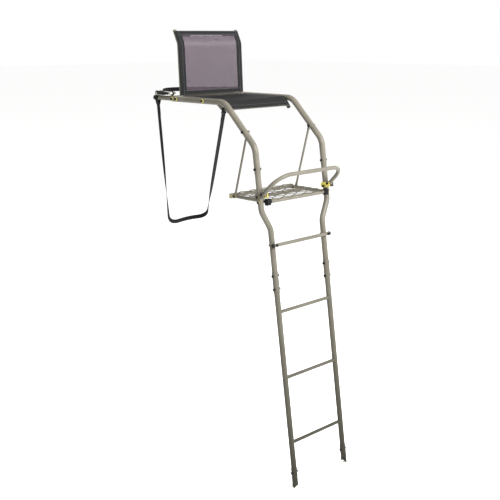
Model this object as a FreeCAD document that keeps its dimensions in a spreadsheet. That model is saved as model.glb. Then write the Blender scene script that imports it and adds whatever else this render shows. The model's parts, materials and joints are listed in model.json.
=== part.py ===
import FreeCAD, Part
import math
import os
import Sketcher
from FreeCAD import Placement, Rotation, Vector

# A ladder tree stand. Millimetres, +Z up, the climber comes from -Y and the tree is at +Y.
# The ladder's feet stand on z = 0. Everything is laid out from the line between the feet,
# and then moved back by centreShift so that the origin is under the middle of the stand.

os.makedirs("parts", exist_ok=True)
doc = FreeCAD.newDocument("LadderTreeStand")

# Driving sizes
sizes = {
    "leanAngle": 8.14,
    "upperHalfWidth": 269,
    "lowerHalfWidth": 212,
    "railOuter": 34,
    "railWall": 1.8,
    "legOuter": 32,
    "legWall": 1.6,
    "rungOuter": 20,
    "rungWall": 1.5,
    "rungPitch": 373,
    "firstRungUp": 260,
    "railLevel": 2121,
    "railRearBack": 945,
    "railBendRadius": 95,
    "slopeTopBack": 506,
    "slopeBottomUp": 1896,
    "railEndUp": 1757,
    "spigotLength": 70,
    "spigotClearance": 0.3,
    "frameBoltDiameter": 8,
    "boltClearance": 0.4,
    "washerThick": 1.6,
    "headHeight": 5.5,
    "nutHeight": 6.5,
    "armBoltBack": 931,
    "postBoltBack": 897,
    "seatBoltBack": 671,
    "armClearance": 3.4,
    "armWall": 1.6,
    "armFrontBack": 800,
    "armEndBack": 1105,
    "armCapThick": 3,
    "crossBarBack": 990,
    "crossBarOuter": 25,
    "crossBarWall": 1.6,
    "chairOuter": 20,
    "chairWall": 1.5,
    "chairFrontBack": 503,
    "chairFrontDrop": 52,
    "chairFrontBendBack": 545,
    "chairFrontRadius": 38,
    "seatRearBack": 884,
    "postBack": 899,
    "chairGap": 2,
    "postFootDrop": 14,
    "backKinkBack": 916,
    "backKinkRise": 309,
    "backTopBack": 953,
    "backTopRise": 384,
    "backKinkRadius": 60,
    "chairBarOuter": 16,
    "panelThick": 3,
    "panelGap": 1,
    "rodOuter": 12,
    "rodEyeThick": 6,
    "rodTopAlongSlope": 110,
    "rodFootBack": 448,
    "rodEyeOuter": 18,
    "rodNeckWide": 14,
    "platformUp": 1606,
    "platformRearBack": 485,
    "platformBarOuter": 20,
    "platformBarWall": 1.5,
    "deckThick": 3,
    "deckPitchAcross": 86,
    "deckPitchBack": 50,
    "deckStrand": 6,
    "shoulderUp": 1555,
    "waistUp": 1452,
    "sBendRadius": 85,
    "sleeveWall": 1.75,
    "sleeveLength": 114,
    "sleeveCentreUp": 1161,
    "sleeveBoltHalfPitch": 37,
    "topRungHalfLength": 235,
    "footWall": 1.6,
    "footLength": 112,
    "footBoltUp": 87,
    "footSpikeUp": 30,
    "legEndUp": 38,
    "footrestOuter": 22,
    "footrestWall": 1.5,
    "footrestPivotUp": 1652,
    "footrestReach": 107,
    "footrestRise": 109,
    "footrestRadius": 100,
    "pivotForward": 31,
    "pivotBoltDiameter": 8,
    "pivotClearance": 0.08,
    "bracketPlate": 3,
    "bracketHeight": 28,
    "bracketNose": 12,
    "bracketBoltUp": 1634,
    "spacerOuter": 16,
    "stopBlockWide": 26,
    "stopBlockDeep": 24,
    "stopBlockTall": 36,
    "stopBlockCorner": 5,
    "clipThick": 3,
    "clipLong": 26,
    "clipTall": 26,
    "bladeHalfWide": 110,
    "bladeThick": 4,
    "capThick": 3,
    "strapThick": 8,
    "tabThick": 4,
    "tabAhead": 8,
    "tabEyeDown": 20,
    "tabHang": 31,
    "hookWide": 16,
    "hookHang": 18,
    "hookPin": 6,
    "loopWide": 12,
    "loopHang": 24,
    "ratchetWide": 30,
    "ratchetPlate": 2,
    "ratchetTall": 26,
    "ratchetLong": 62,
    "spoolOuter": 20,
    "axleOuter": 10,
    "axlePlay": 0.08,
    "axleUp": 14,
    "axleBack": 12,
    "anchorWide": 24,
}
lean = math.radians(sizes["leanAngle"])


def backAt(up):
    """How far back the ladder's leaning line is at a height."""
    return up * math.tan(lean)


def upAlong(up):
    """A height above the ground as a distance along the leaning ladder."""
    return up / math.cos(lean)


# Sizes that follow from the driving ones
sizes["armOuter"] = sizes["railOuter"] - 2 * sizes["railWall"] - sizes["armClearance"]
sizes["sleeveOuter"] = sizes["legOuter"] + 2 * sizes["sleeveWall"]
sizes["footOuter"] = sizes["legOuter"] + 4
sizes["backKinkUp"] = sizes["railLevel"] + sizes["backKinkRise"]
sizes["backTopUp"] = sizes["railLevel"] + sizes["backTopRise"]
sizes["zincWasherOuter"] = 2.5 * sizes["frameBoltDiameter"]
sizes["blackWasherOuter"] = 1.9 * sizes["frameBoltDiameter"]
sizes["hexAcross"] = 1.625 * sizes["frameBoltDiameter"]
sizes["railEndBack"] = backAt(sizes["railEndUp"])
sizes["slopeBottomBack"] = backAt(sizes["slopeBottomUp"])
sizes["boltHole"] = sizes["frameBoltDiameter"] + sizes["boltClearance"]
sizes["railInside"] = sizes["upperHalfWidth"] - sizes["railOuter"] / 2
sizes["chairSide"] = sizes["railInside"] - sizes["chairGap"] - sizes["chairOuter"] / 2
sizes["chairFrontUp"] = sizes["railLevel"] - sizes["chairFrontDrop"]
sizes["postFootUp"] = sizes["railLevel"] - sizes["postFootDrop"]
sizes["platformHalfWidth"] = (
    sizes["railInside"] - sizes["rodEyeThick"] - sizes["platformBarOuter"] / 2
)
sizes["platformFrontBack"] = backAt(sizes["platformUp"])
sizes["jointUp"] = sizes["railEndUp"] + 24
sizes["jointBack"] = backAt(sizes["jointUp"])
slope = math.atan2(
    sizes["railLevel"] - sizes["slopeBottomUp"], sizes["slopeTopBack"] - sizes["slopeBottomBack"]
)
sizes["rodTopBack"] = sizes["slopeBottomBack"] + sizes["rodTopAlongSlope"] * math.cos(slope)
sizes["rodTopUp"] = sizes["slopeBottomUp"] + sizes["rodTopAlongSlope"] * math.sin(slope)
sizes["pivotBack"] = backAt(sizes["footrestPivotUp"]) - sizes["pivotForward"]
sizes["footrestLength"] = math.hypot(sizes["footrestReach"], sizes["footrestRise"])
sizes["pivotHole"] = sizes["pivotBoltDiameter"] + 2 * sizes["pivotClearance"]
sizes["axleHole"] = sizes["axleOuter"] + 2 * sizes["axlePlay"]
for tubeName in ("rail", "arm", "crossBar", "chair", "platformBar", "leg", "rung", "footrest"):
    sizes[tubeName + "Inner"] = sizes[tubeName + "Outer"] - 2 * sizes[tubeName + "Wall"]
sizes["chairBarInner"] = sizes["chairBarOuter"] - 2 * sizes["chairWall"]
sizes["footInner"] = sizes["footOuter"] - 2 * sizes["footWall"]
sizes["spigotOuter"] = sizes["railInner"] - 2 * sizes["spigotClearance"]
sizes["spigotInner"] = sizes["spigotOuter"] - 2 * sizes["legWall"]
sizes["shoulderAlong"] = upAlong(sizes["railEndUp"])
sizes["sUpperAlong"] = upAlong(sizes["shoulderUp"])
sizes["sLowerAlong"] = upAlong(sizes["waistUp"])
sizes["sleeveAlong"] = upAlong(sizes["sleeveCentreUp"])
sizes["middleEndAlong"] = sizes["sleeveAlong"] + 0.5
sizes["legTopAlong"] = sizes["sleeveAlong"] - 0.5
sizes["jointAlong"] = upAlong(sizes["jointUp"])
sizes["topRungAlong"] = sizes["firstRungUp"] + 3 * sizes["rungPitch"]
sizes["pivotAlong"] = upAlong(sizes["footrestPivotUp"]) - sizes["pivotForward"] * math.sin(lean)
sizes["pivotBefore"] = sizes["pivotForward"] * math.cos(lean)
footFront = sizes["footOuter"] / 2 * math.cos(lean) - 2
centreShift = -(sizes["armEndBack"] + sizes["armCapThick"] - footFront) / 2
home = Vector(0, centreShift, 0)
upright = Placement(home, Rotation())
leaning = Placement(home, Rotation(Vector(1, 0, 0), -sizes["leanAngle"]))

sheet = doc.addObject("Spreadsheet::Sheet", "Sizes")
for row, (alias, number) in enumerate(sizes.items(), start=1):
    sheet.set("A%d" % row, alias)
    sheet.set("B%d" % row, repr(round(float(number), 6)))
    sheet.setAlias("B%d" % row, alias)
doc.recompute()

pieces = []


def value(size):
    """The number behind a size's name, which may start with a minus sign."""
    if isinstance(size, (int, float)):
        return float(size)
    return -float(sizes[size[1:]]) if size.startswith("-") else float(sizes[size])


def formula(size):
    return "-Sizes." + size[1:] if size.startswith("-") else "Sizes." + size


def bind(thing, name, size, factor=""):
    if not isinstance(size, str):
        setattr(thing, name, size)
        return
    thing.setExpression(name, formula(size) + factor)


def newBody(label, place=upright):
    body = doc.addObject("PartDesign::Body", label)
    body.Label = label
    body.Placement = place
    pieces.append(body)
    return body


def newSketch(body, role, offset=None):
    sketch = body.newObject("Sketcher::SketchObject", body.Label + "_sketch")
    base = next(f for f in body.Origin.OriginFeatures if f.Role == role)
    sketch.AttachmentSupport = [(base, "")]
    sketch.MapMode = "FlatFace"
    if offset:
        sketch.AttachmentOffset = offset
    return sketch


def fix(sketch, geometry, point, across, up):
    """Hold a point of a sketch at two sizes from the sketch's origin."""
    for kind, size in (("DistanceX", across), ("DistanceY", up)):
        index = sketch.addConstraint(
            Sketcher.Constraint(kind, -1, 1, geometry, point, value(size))
        )
        if isinstance(size, str):
            sketch.setExpression("Constraints[%d]" % index, formula(size))


def circle(sketch, size, across=0, up=0):
    """A circle whose diameter is a size."""
    centre = Vector(value(across), value(up), 0)
    index = sketch.addGeometry(Part.Circle(centre, Vector(0, 0, 1), value(size) / 2))
    held = sketch.addConstraint(Sketcher.Constraint("Diameter", index, value(size)))
    if isinstance(size, str):
        sketch.setExpression("Constraints[%d]" % held, formula(size))
    fix(sketch, index, 3, across, up)


def outline(sketch, corners):
    """A closed polygon through corners."""
    ends = [Vector(value(a), value(b), 0) for a, b in corners]
    lines = [
        sketch.addGeometry(Part.LineSegment(end, ends[(i + 1) % len(ends)]))
        for i, end in enumerate(ends)
    ]
    for i, line in enumerate(lines):
        after = lines[(i + 1) % len(lines)]
        sketch.addConstraint(Sketcher.Constraint("Coincident", line, 2, after, 1))
        fix(sketch, line, 1, *corners[i])


def bentPath(sketch, corners, radii):
    """Straight runs joined by tangent arcs; corners are pairs of sizes."""
    spots = [Vector(value(a), value(b), 0) for a, b in corners]
    start = spots[0]
    line = None
    lines = []
    arcs = []
    for i in range(1, len(spots) - 1):
        back = (spots[i - 1] - spots[i]).normalize()
        ahead = (spots[i + 1] - spots[i]).normalize()
        half = back.getAngle(ahead) / 2
        radius = value(radii[i - 1])
        entry = spots[i] + back * (radius / math.tan(half))
        leave = spots[i] + ahead * (radius / math.tan(half))
        middle = spots[i] + (back + ahead).normalize() * (radius / math.sin(half))
        lines.append(sketch.addGeometry(Part.LineSegment(start, entry)))
        first = math.atan2(entry.y - middle.y, entry.x - middle.x)
        last = math.atan2(leave.y - middle.y, leave.x - middle.x)
        left = (back * -1).cross(ahead).z > 0
        if not left:
            first, last = last, first
        if last < first:
            last += 2 * math.pi
        ring = Part.Circle(middle, Vector(0, 0, 1), radius)
        arcs.append((sketch.addGeometry(Part.ArcOfCircle(ring, first, last)), left))
        start = leave
    lines.append(sketch.addGeometry(Part.LineSegment(start, spots[-1])))
    for i, (arc, left) in enumerate(arcs):
        near, far = (1, 2) if left else (2, 1)
        sketch.addConstraint(Sketcher.Constraint("Tangent", lines[i], 2, arc, near))
        sketch.addConstraint(Sketcher.Constraint("Tangent", arc, far, lines[i + 1], 1))
        held = sketch.addConstraint(Sketcher.Constraint("Radius", arc, value(radii[i])))
        if isinstance(radii[i], str):
            sketch.setExpression("Constraints[%d]" % held, formula(radii[i]))
        corner = sketch.addGeometry(Part.Point(spots[i + 1]), True)
        sketch.addConstraint(Sketcher.Constraint("PointOnObject", corner, 1, lines[i]))
        sketch.addConstraint(Sketcher.Constraint("PointOnObject", corner, 1, lines[i + 1]))
        fix(sketch, corner, 1, *corners[i + 1])
    fix(sketch, lines[0], 1, *corners[0])
    fix(sketch, lines[-1], 2, *corners[-1])


def bore(outer):
    """The name of a tube's inner diameter."""
    return outer.replace("Outer", "Inner")


def bentTube(label, role, corners, radii, outer, place=upright):
    """A round tube that follows a bent path in one of the body's own planes."""
    body = newBody(label, place)
    path = newSketch(body, role)
    bentPath(path, corners, radii)
    (a0, b0), (a1, b1) = [(value(a), value(b)) for a, b in corners[:2]]
    if role == "YZ_Plane":
        start, heading = Vector(0, a0, b0), Vector(0, a1 - a0, b1 - b0)
    elif role == "XZ_Plane":
        start, heading = Vector(a0, 0, b0), Vector(a1 - a0, 0, b1 - b0)
    else:
        start, heading = Vector(a0, b0, 0), Vector(a1 - a0, b1 - b0, 0)
    turned = Placement(start, Rotation(Vector(0, 0, 1), heading))
    section = newSketch(body, "XY_Plane", turned)
    circle(section, outer)
    circle(section, bore(outer))
    pipe = body.newObject("PartDesign::AdditivePipe", label + "_pipe")
    pipe.Profile = section
    pipe.Spine = path
    body.Tip = pipe
    return body


def pad(body, sketch, length, middle=False, back=False):
    feature = body.newObject("PartDesign::Pad", body.Label + "_pad")
    feature.Profile = sketch
    bind(feature, "Length", length)
    feature.Midplane = middle
    feature.Reversed = back
    body.Tip = feature
    return feature


def straightTube(label, role, outer, length, centre=Vector(), place=upright):
    """A round tube centred on a point and running along a plane's normal."""
    body = newBody(label, place.multiply(Placement(centre, Rotation())))
    section = newSketch(body, role)
    circle(section, outer)
    circle(section, bore(outer))
    pad(body, section, length, middle=True)
    return body


def cutThrough(body, sketch):
    """Pocket right through, both ways, and make sure that it took something off."""
    doc.recompute()
    before = body.Shape.Volume
    feature = body.newObject("PartDesign::Pocket", body.Label + "_cut")
    feature.Profile = sketch
    feature.Type = "ThroughAll"
    feature.Midplane = True
    body.Tip = feature
    doc.recompute()
    if body.Shape.Volume > before - 0.01:
        raise RuntimeError(body.Label + ": a cut took nothing off")


def drill(body, role, spots, size="boltHole", offset=None):
    holes = newSketch(body, role, offset)
    for across, up in spots:
        circle(holes, size, across, up)
    cutThrough(body, holes)


def solids(label, shapes):
    """A group of like pieces, each a solid of its own."""
    group = doc.addObject("Part::Feature", label)
    group.Label = label
    group.Shape = shapes[0] if len(shapes) == 1 else Part.makeCompound(shapes)
    group.Placement = upright
    pieces.append(group)
    return group


def both(maker):
    """The same piece on the left, at -X, and on the right."""
    return [maker("left", -1), maker("right", 1)]


# Upper frame
def makeRail(side, sign):
    # One bent tube: it stands on the ladder section, slopes back and ends as the arm beside the seat.
    corners = [
        ("railEndBack", "railEndUp"),
        ("slopeBottomBack", "slopeBottomUp"),
        ("slopeTopBack", "railLevel"),
        ("railRearBack", "railLevel"),
    ]
    place = upright.multiply(Placement(Vector(sign * sizes["upperHalfWidth"], 0, 0), Rotation()))
    body = bentTube(
        "rail_" + side,
        "YZ_Plane",
        corners,
        ["railBendRadius", "railBendRadius"],
        "railOuter",
        place,
    )
    spots = [
        (sizes["armBoltBack"], sizes["railLevel"]),
        (sizes["postBoltBack"], sizes["railLevel"]),
        (sizes["seatBoltBack"], sizes["railLevel"]),
        (sizes["rodTopBack"], sizes["rodTopUp"]),
        (sizes["jointBack"], sizes["jointUp"]),
    ]
    drill(body, "YZ_Plane", spots)
    return body


both(makeRail)


def makeArm(side, sign):
    # The thinner tube that runs on from the rail's open end to the tree.
    middle = (sizes["armFrontBack"] + sizes["armEndBack"]) / 2
    centre = Vector(sign * sizes["upperHalfWidth"], middle, sizes["railLevel"])
    body = straightTube(
        "tree_arm_" + side,
        "XZ_Plane",
        "armOuter",
        sizes["armEndBack"] - sizes["armFrontBack"],
        centre,
    )
    spots = [
        (sizes["armBoltBack"] - middle, 0),
        (sizes["postBoltBack"] - middle, 0),
    ]
    drill(body, "YZ_Plane", spots)
    return body


both(makeArm)


def tube(outer, inner, start, along, length):
    """A plain tube or rod as a shape, for the grouped pieces."""
    shape = Part.makeCylinder(outer / 2, length, start, along)
    if inner:
        shape = shape.cut(Part.makeCylinder(inner / 2, length, start, along))
    return shape


def makeArmCaps():
    caps = []
    for sign in (-1, 1):
        start = Vector(sign * sizes["upperHalfWidth"], sizes["armEndBack"], sizes["railLevel"])
        caps.append(tube(sizes["armOuter"], 0, start, Vector(0, 1, 0), sizes["armCapThick"]))
    return solids("arm_end_caps", caps)


makeArmCaps()


def makeCrossBar():
    # The tube between the two tree arms, in front of the trunk.
    body = straightTube(
        "tree_crossbar",
        "YZ_Plane",
        "crossBarOuter",
        2 * sizes["upperHalfWidth"] - sizes["armOuter"],
        Vector(0, sizes["crossBarBack"], sizes["railLevel"]),
    )
    return body


makeCrossBar()


def makeTreeBlade():
    # A toothed plate on the crossbar's back that bites into the bark.
    thick = sizes["bladeThick"]
    back = sizes["crossBarBack"] + sizes["crossBarOuter"] / 2
    corner = Vector(0, back, sizes["railLevel"] - thick / 2)
    body = newBody("tree_blade", upright.multiply(Placement(corner, Rotation())))
    face = newSketch(body, "XY_Plane")
    half = sizes["bladeHalfWide"]
    teeth = 8
    root, tip, hollow = 10, 22, 8
    step = 2 * half / teeth
    corners = [(-half, 0), (half, 0), (half, root)]
    for tooth in range(teeth):
        right = half - tooth * step
        # The outer teeth are longer, so that the row of tips is hollow like the trunk.
        outward = abs((tooth + 0.5) * 2 / teeth - 1)
        corners.append((right - step / 2, tip + hollow * outward))
        corners.append((right - step, root))
    outline(face, corners)
    pad(body, face, thick)
    return body


makeTreeBlade()


# Chair frame
def makeSeatTube(side, sign):
    # The seat's side tube: level beside the rail, with a short drop at the front.
    corners = [
        ("chairFrontBack", "chairFrontUp"),
        ("chairFrontBendBack", "railLevel"),
        ("seatRearBack", "railLevel"),
    ]
    place = upright.multiply(Placement(Vector(sign * sizes["chairSide"], 0, 0), Rotation()))
    label = "seat_tube_" + side
    body = bentTube(label, "YZ_Plane", corners, ["chairFrontRadius"], "chairOuter", place)
    drill(body, "YZ_Plane", [(sizes["seatBoltBack"], sizes["railLevel"])])
    return body


def makePost(side, sign):
    # The backrest's side post: it is bolted beside the rail and kinks back near its top.
    corners = [
        ("postBack", "postFootUp"),
        ("backKinkBack", "backKinkUp"),
        ("backTopBack", "backTopUp"),
    ]
    place = upright.multiply(Placement(Vector(sign * sizes["chairSide"], 0, 0), Rotation()))
    label = "backrest_post_" + side
    body = bentTube(label, "YZ_Plane", corners, ["backKinkRadius"], "chairOuter", place)
    drill(body, "YZ_Plane", [(sizes["postBoltBack"], sizes["railLevel"])])
    return body


both(makeSeatTube)
both(makePost)
chairInside = 2 * sizes["chairSide"] - sizes["chairOuter"]


def makeChairBars():
    spots = {
        "seat_front_bar": (sizes["chairFrontBack"] + 12, sizes["chairFrontUp"] + 14),
        "seat_rear_bar": (sizes["seatRearBack"] - 12, sizes["railLevel"]),
        "backrest_top_bar": (sizes["backTopBack"] - 5, sizes["backTopUp"] - 11),
    }
    for label, (back, up) in spots.items():
        straightTube(label, "YZ_Plane", "chairBarOuter", chairInside, Vector(0, back, up))


makeChairBars()


def makeChairPlugs():
    # The plugs that close the chair tubes' front ends.
    heading = Vector(
        0,
        sizes["chairFrontBack"] - sizes["chairFrontBendBack"],
        sizes["chairFrontUp"] - sizes["railLevel"],
    ).normalize()
    plugs = []
    for sign in (-1, 1):
        start = Vector(sign * sizes["chairSide"], sizes["chairFrontBack"], sizes["chairFrontUp"])
        plugs.append(tube(sizes["chairOuter"], 0, start, heading, 4))
    return solids("chair_end_plugs", plugs)


makeChairPlugs()


def panel(label, line, halfWidth):
    """A thin panel whose side view is a line of points, given from one end to the other."""
    body = newBody(label)
    side = newSketch(body, "YZ_Plane")
    outer = []
    spots = [Vector(a, b, 0) for a, b in line]
    for i, spot in enumerate(spots):
        before = spots[max(i - 1, 0)]
        after = spots[min(i + 1, len(spots) - 1)]
        along = (after - before).normalize()
        away = Vector(-along.y, along.x, 0) * sizes["panelThick"]
        outer.append((spot + away).x)
        outer.append((spot + away).y)
    far = list(zip(outer[::2], outer[1::2]))
    outline(side, [(s.x, s.y) for s in spots] + far[::-1])
    pad(body, side, 2 * halfWidth, middle=True)
    return body


def makePanels():
    lift = sizes["chairOuter"] / 2 + sizes["panelGap"]
    level = sizes["railLevel"] + lift
    # The sling of the seat lies on the seat tubes and turns down over their front ends.
    seat = [
        (sizes["chairFrontBack"] - 8, sizes["chairFrontUp"] + 6),
        (sizes["chairFrontBendBack"] - 20, level - 12),
        (sizes["chairFrontBendBack"], level - 1),
        (sizes["chairFrontBendBack"] + 20, level),
        (sizes["seatRearBack"] - 8, level),
    ]
    panel("seat_sling", seat, sizes["chairSide"])
    # The sling of the backrest stands in front of the posts.
    back = [
        (sizes["backTopBack"] - lift - 5, sizes["backTopUp"] - 4),
        (sizes["backKinkBack"] + 14 - lift - 5, sizes["backKinkUp"] + 32),
        (sizes["backKinkBack"] - lift - 3, sizes["backKinkUp"]),
        (sizes["backKinkBack"] - 2 - lift - 3, sizes["backKinkUp"] - 32),
        (sizes["postBack"] - lift - 1.5, level + 3),
    ]
    panel("backrest_sling", back, sizes["chairSide"])


makePanels()


# Brace rods
def makeRod(side, sign):
    # A round rod with a flat eye at each end, beside the rail above and the platform bar below.
    top = Vector(0, sizes["rodTopBack"], sizes["rodTopUp"])
    foot = Vector(0, sizes["rodFootBack"], sizes["platformUp"])
    length = (top - foot).Length
    middle = (top + foot) * 0.5
    across = sizes["upperHalfWidth"] - sizes["railOuter"] / 2 - sizes["rodEyeThick"] / 2
    turn = Rotation(Vector(0, 0, 1), top - foot)
    centre = Vector(sign * across, middle.y, middle.z)
    body = newBody("brace_rod_" + side, upright.multiply(Placement(centre, turn)))
    section = newSketch(body, "XY_Plane")
    circle(section, "rodOuter")
    eyeWide = sizes["rodEyeOuter"]
    half = sizes["rodNeckWide"] / 2
    pad(body, section, length - 1.5 * eyeWide, middle=True)
    eye = newSketch(body, "YZ_Plane")
    for end in (-1, 1):
        circle(eye, "rodEyeOuter", 0, end * length / 2)
    pad(body, eye, "rodEyeThick", middle=True)
    neck = newSketch(body, "YZ_Plane")
    for end in (-1, 1):
        near, far = end * (length / 2 - 1.3 * eyeWide), end * (length / 2 - 0.2 * eyeWide)
        outline(neck, [(-half, near), (half, near), (half, far), (-half, far)])
    pad(body, neck, "rodEyeThick", middle=True)
    drill(body, "YZ_Plane", [(0, length / 2), (0, -length / 2)])
    return body


both(makeRod)


# Platform
bars = sizes["platformBarOuter"]
sideFront = sizes["platformFrontBack"] - 12
sideRear = sizes["platformRearBack"] - bars / 2
blockWide = sizes["stopBlockWide"]
blockInside = sizes["platformHalfWidth"] + bars / 2 + 4 - blockWide


def makePlatformSide(side, sign):
    middle = (sideFront + sideRear) / 2
    body = straightTube(
        "platform_side_" + side,
        "XZ_Plane",
        "platformBarOuter",
        sideRear - sideFront,
        Vector(sign * sizes["platformHalfWidth"], middle, sizes["platformUp"]),
    )
    spots = [(sizes["platformFrontBack"] - middle, 0), (sizes["rodFootBack"] - middle, 0)]
    drill(body, "YZ_Plane", spots)
    return body


both(makePlatformSide)


def makePlatformBars():
    inside = 2 * sizes["platformHalfWidth"] - bars
    up = sizes["platformUp"]
    outer = "platformBarOuter"
    rear = Vector(0, sizes["platformRearBack"], up)
    straightTube("platform_rear_bar", "YZ_Plane", outer, inside + 2 * bars, rear)
    middle = Vector(0, (sizes["platformFrontBack"] + sizes["platformRearBack"]) / 2, up)
    straightTube("platform_middle_bar", "YZ_Plane", outer, inside, middle)
    front = Vector(0, sideFront - bars / 2, up)
    straightTube("platform_front_bar", "YZ_Plane", outer, 2 * blockInside, front)


makePlatformBars()


def makeDeck():
    # Expanded metal: a thin sheet with rows of diamond openings, every other row half a pitch on.
    place = Placement(Vector(0, 0, sizes["platformUp"] + bars / 2), Rotation())
    body = newBody("platform_deck", upright.multiply(place))
    across = sizes["deckPitchAcross"]
    deep = sizes["deckPitchBack"]
    halfWide = sizes["platformHalfWidth"] + bars / 4
    front = sideFront
    rear = sizes["platformRearBack"] + bars / 2
    face = newSketch(body, "XY_Plane")
    outline(face, [(-halfWide, front), (halfWide, front), (halfWide, rear), (-halfWide, rear)])
    pad(body, face, "deckThick")
    doc.recompute()
    before = body.Shape.Volume
    columns = int((2 * halfWide - 6) // across)
    rows = int((rear - front - 6) // deep)
    left = -columns * across / 2
    low = (front + rear) / 2 - rows * deep / 2
    slim = sizes["deckStrand"] / 2
    for shift in (0, 1):
        wide = columns - shift
        tall = rows - shift
        middleX = left + across / 2 + shift * across / 2
        middleY = low + deep / 2 + shift * deep / 2
        hole = newSketch(body, "XY_Plane")
        outline(
            hole,
            [
                (middleX - across / 2 + slim * 1.4, middleY),
                (middleX, middleY - deep / 2 + slim * 1.4),
                (middleX + across / 2 - slim * 1.4, middleY),
                (middleX, middleY + deep / 2 - slim * 1.4),
            ],
        )
        cut = body.newObject("PartDesign::Pocket", "deck_hole")
        cut.Profile = hole
        cut.Type = "ThroughAll"
        cut.Reversed = True
        pattern = body.newObject("PartDesign::MultiTransform", "deck_rows")
        pattern.Originals = [cut]
        runs = []
        for axis, pitch, count in (("H_Axis", across, wide), ("V_Axis", deep, tall)):
            run = doc.addObject("PartDesign::LinearPattern", "deck_run")
            run.Direction = (hole, [axis])
            run.Length = pitch * (count - 1)
            run.Occurrences = count
            body.addObject(run)
            runs.append(run)
        pattern.Transformations = runs
        body.Tip = pattern
        doc.recompute()
    if body.Shape.Volume > 0.6 * before:
        raise RuntimeError("the deck's openings are missing")
    return body


makeDeck()


def makeCornerClips():
    # Plated clips that hold the platform's side bars to its rear bar.
    clips = []
    thick, long, tall = sizes["clipThick"], sizes["clipLong"], sizes["clipTall"]
    front = sizes["platformRearBack"] + bars / 2 - long
    for sign in (-1, 1):
        x = sign * (sizes["platformHalfWidth"] + bars / 2)
        low = Vector(min(x, x + sign * thick), front, sizes["platformUp"] - tall / 2)
        clips.append(Part.makeBox(thick, long, tall, low))
    return solids("platform_corner_clips", clips)


makeCornerClips()


# Ladder
sleeveBolts = [
    sizes["sleeveAlong"] + end * sizes["sleeveBoltHalfPitch"] for end in (-1, 1)
]
crossBolts = [upAlong(sizes["platformUp"]), upAlong(sizes["bracketBoltUp"])]


def makeMiddleUpright(side, sign):
    # The joggled upright that brings the wide seat frame in to the narrow ladder.
    wide = "upperHalfWidth" if sign > 0 else "-upperHalfWidth"
    narrow = "lowerHalfWidth" if sign > 0 else "-lowerHalfWidth"
    corners = [
        (wide, "shoulderAlong"),
        (wide, "sUpperAlong"),
        (narrow, "sLowerAlong"),
        (narrow, "middleEndAlong"),
    ]
    body = bentTube(
        "middle_upright_" + side,
        "XZ_Plane",
        corners,
        ["sBendRadius", "sBendRadius"],
        "legOuter",
        leaning,
    )
    start = Placement(Vector(0, 0, sizes["shoulderAlong"]), Rotation())
    spigot = newSketch(body, "XY_Plane", start)
    circle(spigot, "spigotOuter", wide, 0)
    circle(spigot, "spigotInner", wide, 0)
    pad(body, spigot, "spigotLength")
    holes = [(0, sizes["jointAlong"]), (0, crossBolts[0]), (0, crossBolts[1]), (0, sleeveBolts[1])]
    drill(body, "YZ_Plane", holes)
    drill(body, "XZ_Plane", [(sign * sizes["lowerHalfWidth"], sizes["topRungAlong"])])
    return body


both(makeMiddleUpright)


def makeLeg(side, sign):
    low = upAlong(sizes["legEndUp"])
    top = sizes["legTopAlong"]
    body = straightTube(
        "lower_leg_" + side,
        "XY_Plane",
        "legOuter",
        top - low,
        Vector(sign * sizes["lowerHalfWidth"], 0, (top + low) / 2),
        leaning,
    )
    middle = (top + low) / 2
    drill(body, "YZ_Plane", [(0, sleeveBolts[0] - middle), (0, sizes["footBoltUp"] - middle)])
    return body


both(makeLeg)


def makeSleeve(side, sign):
    # The short outer tube that joins the two ladder sections.
    centre = Vector(sign * sizes["lowerHalfWidth"], 0, upAlong(sizes["sleeveCentreUp"]))
    body = newBody("ladder_sleeve_" + side, leaning.multiply(Placement(centre, Rotation())))
    section = newSketch(body, "XY_Plane")
    circle(section, "sleeveOuter")
    circle(section, "legOuter")
    pad(body, section, "sleeveLength", middle=True)
    drill(body, "YZ_Plane", [(0, end * sizes["sleeveBoltHalfPitch"]) for end in (-1, 1)])
    return body


both(makeSleeve)


def makeRungs():
    for number, label in enumerate(("bottom_rung", "second_rung", "third_rung")):
        along = sizes["firstRungUp"] + number * sizes["rungPitch"]
        body = straightTube(
            label,
            "YZ_Plane",
            "rungOuter",
            2 * sizes["lowerHalfWidth"],
            Vector(0, 0, along),
            leaning,
        )
        # Each end is coped to the leg that it is welded to.
        cope = newSketch(body, "XY_Plane")
        circle(cope, "legOuter", "lowerHalfWidth", 0)
        circle(cope, "legOuter", "-lowerHalfWidth", 0)
        cutThrough(body, cope)


makeRungs()
topRungForward = -(sizes["legOuter"] + sizes["rungOuter"]) / 2


def makeTopRung():
    # The bolted rung that lies across the fronts of the two uprights.
    body = straightTube(
        "top_rung",
        "YZ_Plane",
        "rungOuter",
        2 * sizes["topRungHalfLength"],
        Vector(0, topRungForward, sizes["topRungAlong"]),
        leaning,
    )
    drill(body, "XZ_Plane", [("lowerHalfWidth", 0), ("-lowerHalfWidth", 0)])
    return body


makeTopRung()


def makeRungCaps():
    caps = []
    for sign in (-1, 1):
        start = Vector(
            sign * sizes["topRungHalfLength"], topRungForward, sizes["topRungAlong"]
        )
        along = Vector(sign, 0, 0)
        caps.append(tube(sizes["rungOuter"] + 1, 0, start, along, sizes["capThick"]))
    group = solids("top_rung_caps", caps)
    group.Placement = leaning


makeRungCaps()


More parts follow.
